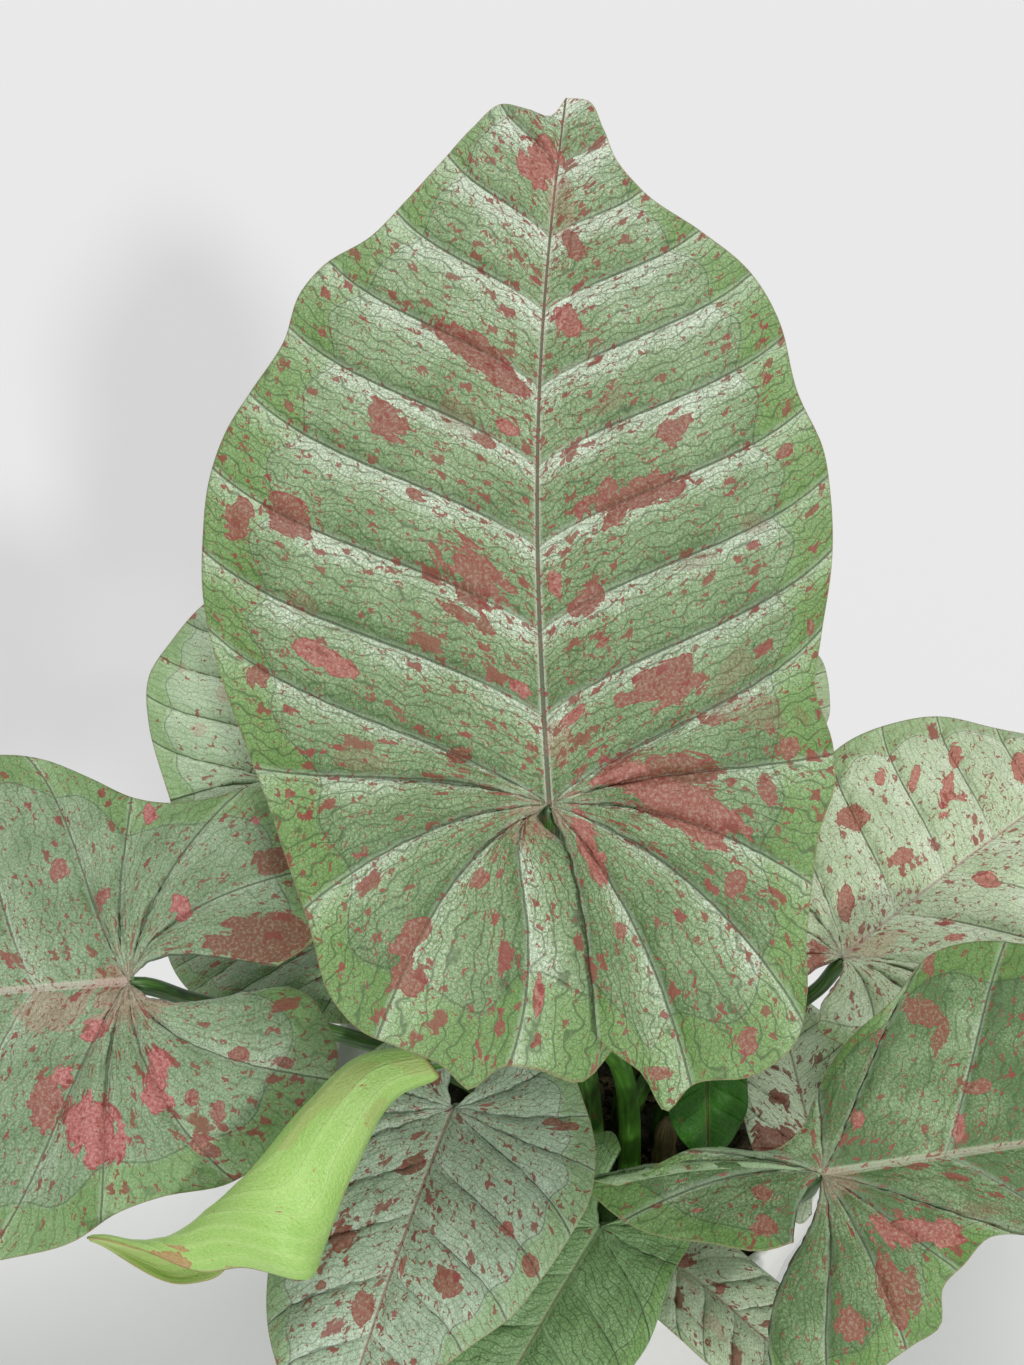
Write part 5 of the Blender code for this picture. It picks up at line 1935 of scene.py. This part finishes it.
@dataclass
class Pot:
    """The tapered plastic pot, with a rolled rim and six drain holes. Sizes in metres.

    lip_round says how the lip's lower corner is rounded: how far each point lies inside the lip's
    face and above its lower edge. foot is how far the foot's slope runs in and up.
    """

    height: float = 0.095
    rim_radius: float = 0.051
    base_radius: float = 0.0365
    wall: float = 0.0018
    floor: float = 0.0025
    lip_depth: float = 0.011
    lip_step: float = 0.0022
    lip_slope: float = 0.0025
    lip_taper: float = 0.0004
    lip_round: tuple = ((0.0, 0.0006), (0.0003, 0.0001), (0.0009, 0.0))
    lip_root: tuple = (0.0003, 0.0002)
    round: float = 0.0008
    corner: float = 0.001
    foot: tuple = (0.0015, 0.002)
    foot_round: float = 0.3
    holes: int = 6
    hole_radius: float = 0.004
    hole_circle: float = 0.024
    hole_zone: tuple = (0.016, 0.032)
    segments: int = 144
    crown_points: int = 9
    sector_steps: int = 8
    floor_rings: int = 5
    crease: float = 40.0

    def profile(self) -> Array:
        """The wall's profile, from the floor's inside edge over the rim to the edge beneath, with
        each corner rounded by a few points.

        Returns:
            Radii and heights, (n, 2).
        """
        under = self.height - self.lip_depth
        body_top = self.rim_radius - self.lip_step
        lip = self.rim_radius - self.lip_taper
        shoulder = self.height - self.round
        inside = [
            (self.hole_zone[1], self.floor),
            (self.base_radius - self.wall - self.corner, self.floor),
            (self.base_radius - self.wall, self.floor + self.corner),
            (body_top - self.wall, under),
            (lip - self.wall, under + self.lip_slope),
            (self.rim_radius - self.wall, shoulder),
        ]
        turn = np.linspace(np.pi, 0, self.crown_points)[1:-1]
        half = 0.5 * self.wall
        across = self.rim_radius - half + half * np.cos(turn)
        crown = np.column_stack([across, shoulder + self.round * np.sin(turn)])
        outside = [
            (self.rim_radius, shoulder),
            *((lip - inward, under + rise) for inward, rise in self.lip_round),
            (body_top + self.lip_root[0], under - self.lip_root[1]),
            (body_top, under - self.round),
            (self.base_radius, self.foot[1]),
            (self.base_radius - self.foot_round * self.foot[0], self.foot_round * self.foot[1]),
            (self.base_radius - self.foot[0], 0.0),
            (self.hole_zone[1], 0.0),
        ]
        return np.vstack([inside, crown, outside])

    def floor_grids(self) -> list[tuple[Array, bool]]:
        """The floor's two faces and the holes' walls. Each hole has a sector of its own: rays from
        its rim run out to the sector's outline, which is two arcs and two straight sides.

        Returns:
            Grids of places, each with whether its triangles are turned over.
        """

        def polar(radius: Array, angle: Array) -> Array:
            """Plane places from radii and angles."""
            return np.stack(np.broadcast_arrays(radius * np.cos(angle), radius * np.sin(angle)), -1)

        inner, outer = self.hole_zone
        sector = CIRCLE / self.holes
        angle = np.linspace(-0.5 * sector, 0.5 * sector, self.segments // self.holes + 1)
        reach = np.linspace(inner, outer, self.sector_steps + 1)
        outline = np.vstack([
            polar(outer, angle),
            polar(reach[::-1], angle[-1])[1:],
            polar(inner, angle[::-1])[1:],
            polar(reach, angle[0])[1:],
        ])
        middle = np.array([self.hole_circle, 0.0])
        rim = middle + self.hole_radius * unit(outline - middle)
        face = rim + (outline - rim) * np.linspace(0, 1, self.floor_rings)[:, None, None]
        levels = (0.0, self.floor)
        grids = []
        for hole in range(self.holes):
            plan = turned(face, (hole + 0.5) * sector)
            bottom, top = (np.insert(plan, 2, level, axis=-1) for level in levels)
            grids += [(top, False), (bottom, True), (np.stack([bottom[0], top[0]]), False)]
        disc = np.linspace(0, inner, self.floor_rings)
        for level, flip in zip(levels, (True, False)):
            grids.append((lathe(disc, np.full(len(disc), level), self.segments), flip))
        return grids

    def build(self) -> None:
        """Makes and dresses the pot."""
        grids = [(lathe(*self.profile().T, self.segments), False), *self.floor_grids()]
        places, triangles, start = [], [], 0
        for grid, flip in grids:
            faces = sheet_triangles(*grid.shape[:2]) + start
            triangles.append(faces[:, ::-1] if flip else faces)
            places.append(grid.reshape(-1, 3))
            start += len(places[-1])
        skin = closed(np.vstack(places), np.vstack(triangles))
        skin.dress("pot_dressed", "pot", PotFinish().build(), "pot", self.crease)


@dataclass(frozen=True)
class SoilFinish:
    """Dark potting mix. Colours are screen values from 0 to 255."""

    dark: tuple = (34, 29, 22)
    brown: tuple = (70, 55, 38)
    bark: tuple = (108, 84, 56)
    moss: tuple = (44, 66, 26)

    BUMP = (0.6, 0.0007)

    def build(self, name: str, pale: float) -> Material:
        """Wires the material: crumbs of a few browns, with a green bloom on some.

        Args:
            name: The material's name.
            pale: How much of it is the paler bark.

        Returns:
            The material.
        """
        w = Coat(name, "3D")
        place = w.node("ShaderNodeTexCoord", {}).outputs["Object"]
        away, chances = w.cells(w.drift(place, 300.0, 0.002), 420.0)
        kind = w.parts(chances)
        grain = w.noise(place, 1400.0, 3.0, 0.65)
        colour = w.mix(w.span(kind[0], 0.3, 0.9), self.dark, self.brown)
        colour = w.mix(w.span(kind[1], 1.0 - pale, 1.02 - pale), colour, self.bark)
        bloom = w.span(w.noise(place, 60.0, 3.0), 0.56, 0.72)
        colour = w.mix(w.times(bloom, 0.5), colour, self.moss)
        colour = w.mix(w.span(grain, 0.7, 0.3), colour, self.dark)
        return w.finish(colour, w.line(grain, 0.2, 0.78), w.line(away, -0.8, grain), self.BUMP)


@dataclass
class Soil:
    """The soil: a tapered plug whose top is crumbly, and loose crumbs on it. Sizes in metres."""

    pot: Pot
    edge_height: float = 0.081
    edge_drop: float = 0.0012
    crown_height: float = 0.085
    foot: float = 0.002
    gap: float = 0.0003
    crumbs: int = 420
    segments: int = 150
    rings: int = 80

    PACKING = 0.8
    LUMPS = ((1.1, 3.4, 3), (0.6, 1.7, 4))
    LUMP_LEVEL = 0.9
    ROLLING = (0.6, 16.0, 5)
    EDGE_ZONE = (1.0, 0.93)
    PALE, CRUMB_PALE = 0.12, 0.35
    CREASE, CRUMB_CREASE = 60.0, 50.0
    SEED = 11
    EDGE_CLEAR = 0.003
    CRUMB_SIZE = (0.0006, 0.0019)
    CRUMB_STRETCH = ((0.7, 0.6, 0.35), (2.0, 1.1, 0.8))
    CRUMB_LEAN, CRUMB_DENT, CRUMB_RISE = 0.35, 0.22, 0.15
    BALL = (7, 9)

    def radius(self, height: float) -> float:
        """The soil's outer radius at a height, a fit gap inside the pot's wall.

        Args:
            height: The height, in metres.

        Returns:
            The radius, in metres.
        """
        under = self.pot.height - self.pot.lip_depth
        share = (height - self.pot.floor) / (under - self.pot.floor)
        top = self.pot.rim_radius - self.pot.lip_step
        wall = self.pot.base_radius + (top - self.pot.base_radius) * share - self.pot.wall
        return wall - 2 * self.gap

    def top(self, x: Array, y: Array) -> Array:
        """Heights of the top: a low crown that falls off to the edge, with crumbs on it.

        Args:
            x, y: Places over the ground.

        Returns:
            Heights.
        """
        away = np.hypot(x, y) / self.radius(self.edge_height)
        crown = self.edge_height + (self.crown_height - self.edge_height) * (1 - away**4)
        plan = np.stack([x, y], -1) / MM
        lumps = sum(tall * pillows(plan, size, seed) for tall, size, seed in self.LUMPS)
        rough = lumps - self.LUMP_LEVEL + self.ROLLING[0] * swells(plan, *self.ROLLING[1:])
        return crown + rough * eased(away, *self.EDGE_ZONE) * MM

    def build(self) -> None:
        """Makes and dresses the plug."""
        floor = self.pot.floor + self.gap
        edge, low = self.radius(self.edge_height), self.radius(floor)
        radii = edge * np.linspace(0, 1, self.rings) ** self.PACKING
        top = lathe(radii, 0 * radii, self.segments)
        top[..., 2] = self.top(top[..., 0], top[..., 1])
        side = lathe(
            np.array([edge, low, low - self.foot, 0.0]),
            np.array([self.edge_height - self.edge_drop, floor + self.foot, floor, floor]),
            self.segments,
        )
        places = np.concatenate([top, side])
        skin = closed(places.reshape(-1, 3), sheet_triangles(*places.shape[:2]))
        coat = SoilFinish().build("soil_finish", self.PALE)
        skin.dress("soil_dressed", "soil", coat, "soil", self.CREASE)

    def strew(self) -> None:
        """Makes the loose crumbs and bark: small balls, each stretched, turned and dented at
        random, half sunk in the top."""
        draw = np.random.default_rng(self.SEED)
        count, (high, round_) = self.crumbs, self.BALL
        reach = self.radius(self.edge_height) - self.EDGE_CLEAR
        reach = reach * np.sqrt(draw.uniform(0, 1, count))
        turn = draw.uniform(0, CIRCLE, count)
        x, y = reach * np.cos(turn), reach * np.sin(turn)
        size = draw.uniform(*self.CRUMB_SIZE, count)
        stretch = draw.uniform(*self.CRUMB_STRETCH, (count, 3))
        spin = draw.uniform(0, CIRCLE, count)
        lean = draw.normal(0, self.CRUMB_LEAN, count)
        rise = np.linspace(0, np.pi, high)
        dents = 1 + self.CRUMB_DENT * draw.normal(size=(count, high, round_))
        dents[:, [0, -1]] = dents[:, [0, -1], :1]
        dents = np.concatenate([dents, dents[:, :, :1]], axis=2)
        ball = lathe(np.sin(rise), -np.cos(rise), round_)
        body = ball * dents[..., None] * (size[:, None] * stretch)[:, None, None]
        body[..., ::2] = turned(body[..., ::2], lean[:, None, None])
        body[..., :2] = turned(body[..., :2], spin[:, None, None])
        centre = np.stack([x, y, self.top(x, y) + self.CRUMB_RISE * size], -1)
        places = (body + centre[:, None, None]).reshape(-1, 3)
        each = high * (round_ + 1)
        faces = sheet_triangles(high, round_ + 1)
        triangles = (faces + each * np.arange(count)[:, None, None]).reshape(-1, 3)
        coat = SoilFinish(brown=(86, 66, 44)).build("crumb_finish", self.CRUMB_PALE)
        closed(places, triangles).dress("soil_crumbs", "", coat, "soil", self.CRUMB_CREASE)


@dataclass
class Studio:
    """A plain pale floor, a soft key light, a broad one from above and an even surround. A light
    is where it shines from, its strength, and how wide it looks in degrees."""

    floor_reach: float = 3.0
    floor_tone: tuple = (232, 232, 232)
    floor_roughness: float = 0.9
    floor_gloss: float = 0.1
    key: tuple = ((0.27, -0.87, 0.46), 1.30, 5.0)
    sky: tuple = ((0.02, 0.03, 1.0), 1.06, 30.0)
    fill_power: float = 0.49

    def build(self) -> None:
        """Makes the floor, the lights and the camera."""
        corners = np.array([(-1, -1, 0), (1, -1, 0), (1, 1, 0), (-1, 1, 0)]) * self.floor_reach
        mesh = bpy.data.meshes.new("floor")
        mesh.from_pydata(corners.tolist(), [], [(0, 1, 2, 3)])
        floor = bpy.data.objects.new("floor", mesh)
        bpy.context.scene.collection.objects.link(floor)
        coat = Coat("floor")
        coat.shader.inputs["Base Color"].default_value = paint(self.floor_tone)
        coat.shader.inputs["Roughness"].default_value = self.floor_roughness
        coat.shader.inputs["Specular IOR Level"].default_value = self.floor_gloss
        mesh.materials.append(coat.material)
        self.lamp("key", *self.key)
        self.lamp("sky", *self.sky)
        world = bpy.data.worlds.new("surround")
        world.use_nodes = True
        back = world.node_tree.nodes["Background"]
        back.inputs["Color"].default_value = (1.0, 1.0, 1.0, 1.0)
        back.inputs["Strength"].default_value = self.fill_power
        bpy.context.scene.world = world
        bpy.context.scene.view_settings.view_transform = "Standard"
        Picture.make()

    @staticmethod
    def lamp(name: str, source: tuple, power: float, angle: float) -> None:
        """Adds a distant light.

        Args:
            name: Its name.
            source: The direction that it shines from.
            power: Its strength.
            angle: How wide it looks, in degrees.
        """
        light = bpy.data.lights.new(name, "SUN")
        light.energy = power
        light.angle = np.radians(angle)
        thing = bpy.data.objects.new(name, light)
        thing.rotation_euler = Vector(source).to_track_quat("Z", "Y").to_euler()
        bpy.context.scene.collection.objects.link(thing)


class Plant:
    """The whole plant: its leaves, their petioles, the crown stems and the rolled leaf."""

    CHANNEL = 0.10
    STEMS = ((16.0, -14.5, 17.0), (0.5, -10.5, 14.0), (-9.5, -22.5, 9.0))
    STEM_RADIUS = 2.6
    STEM_KNOBBLE = 0.07
    STEM_SEED = 20
    STEM_RINGS = (
        (0.0, 1.0), (0.42, 1.0), (0.50, 0.88), (0.62, 0.95),
        (0.72, 0.80), (0.86, 0.84), (0.94, 0.60), (1.0, 0.28),
    )
    ROLL_FOOT = (9.0, -18.0)
    ROLL_DEPTH = 3.0
    ROLL_RADIUS = 1.5
    ROLL_LEAVE = 0.62
    ROLL_SEED = 14

    def __init__(self) -> None:
        """Lists the blades in order."""
        self.blades = (
            Blade(LEAF_A, MOTTLED, A_SPLASHES, 14, 56, 1),
            Blade(LEAF_B, RED, B_SPLASHES, 14, 44, 2),
            Blade(LEAF_C, MINT, C_SPLASHES, 13, 38, 3),
            Blade(LEAF_D, DUSKY, D_SPLASHES, 13, 40, 4),
            Blade(LEAF_E, SOFT, E_SPLASHES, 14, 32, 5),
            Blade(LEAF_G, GREY, G_SPLASHES, 13, 36, 6),
            Blade(LEAF_H, PLAIN, (), 13, 30, 7),
            Blade(LEAF_I, VEILED, I_SPLASHES, 11, 24, 8),
            Blade(LEAF_J, PALE, J_SPLASHES, 11, 26, 9),
            Blade(LEAF_K, DARK, (), 8, 16, 10),
            Blade(LEAF_L, MOTTLED, HIDDEN_SPLASHES, 14, 34, 11),
            Blade(LEAF_M, MINT, HIDDEN_SPLASHES, 14, 34, 12),
            Blade(LEAF_N, RED, HIDDEN_SPLASHES, 12, 30, 13),
        )

    def build(self) -> None:
        """Makes and dresses every piece of the plant."""
        for blade in self.blades:
            blade.build()
            name, way = blade.form.name + "_petiole", StalkPlan.petiole(blade.form)
            Stalk(name, *way, GREEN_STALK, "petiole", blade.seed, self.CHANNEL).build()
        roll = RolledBlade(LIME, F_SPLASHES)
        roll.build()
        self.rolled_stalk(roll).build()
        for index in range(len(self.STEMS)):
            self.stem(index).build()

    def rolled_stalk(self, roll: RolledBlade) -> Stalk:
        """The rolled leaf's petiole, which bows over into the foot of the roll.

        Args:
            roll: The rolled leaf.

        Returns:
            The petiole.
        """
        foot = np.array(roll.stations[0][:3])
        ahead = unit(np.array(roll.stations[1][:3]) - foot)
        line = StalkPlan.rise(self.ROLL_FOOT, foot + self.ROLL_DEPTH * ahead, self.ROLL_LEAVE, ahead)
        radii = StalkPlan.radii(self.ROLL_RADIUS)
        return Stalk("leaf_f_petiole", line, radii, LIME_STALK, "new_petiole", self.ROLL_SEED)

    def stem(self, index: int) -> Stalk:
        """One crown stem, with the rings that old leaves left.

        Args:
            index: Which stem, from 0.

        Returns:
            The stem.
        """
        x, y, height = self.STEMS[index]
        low = StalkPlan.SOIL_TOP - StalkPlan.DEPTH
        reach = StalkPlan.DEPTH + height
        line = np.array([(x, y, low + share * reach) for share, _ in self.STEM_RINGS])
        radii = np.array([self.STEM_RADIUS * wide for _, wide in self.STEM_RINGS])
        name, seed = f"stem_{index + 1}", self.STEM_SEED + index
        return Stalk(name, line, radii, STEM_BARK, "stem", seed, 0.0, self.STEM_KNOBBLE)


def main() -> None:
    """Builds the studio, the pot, the soil and the plant, and notes the sizes."""
    logging.basicConfig(level=logging.INFO, format="%(message)s")
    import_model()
    Studio().build()
    pot = Pot()
    pot.build()
    soil = Soil(pot)
    soil.build()
    soil.strew()
    Plant().build()
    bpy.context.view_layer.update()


if __name__ == "__main__":
    main()
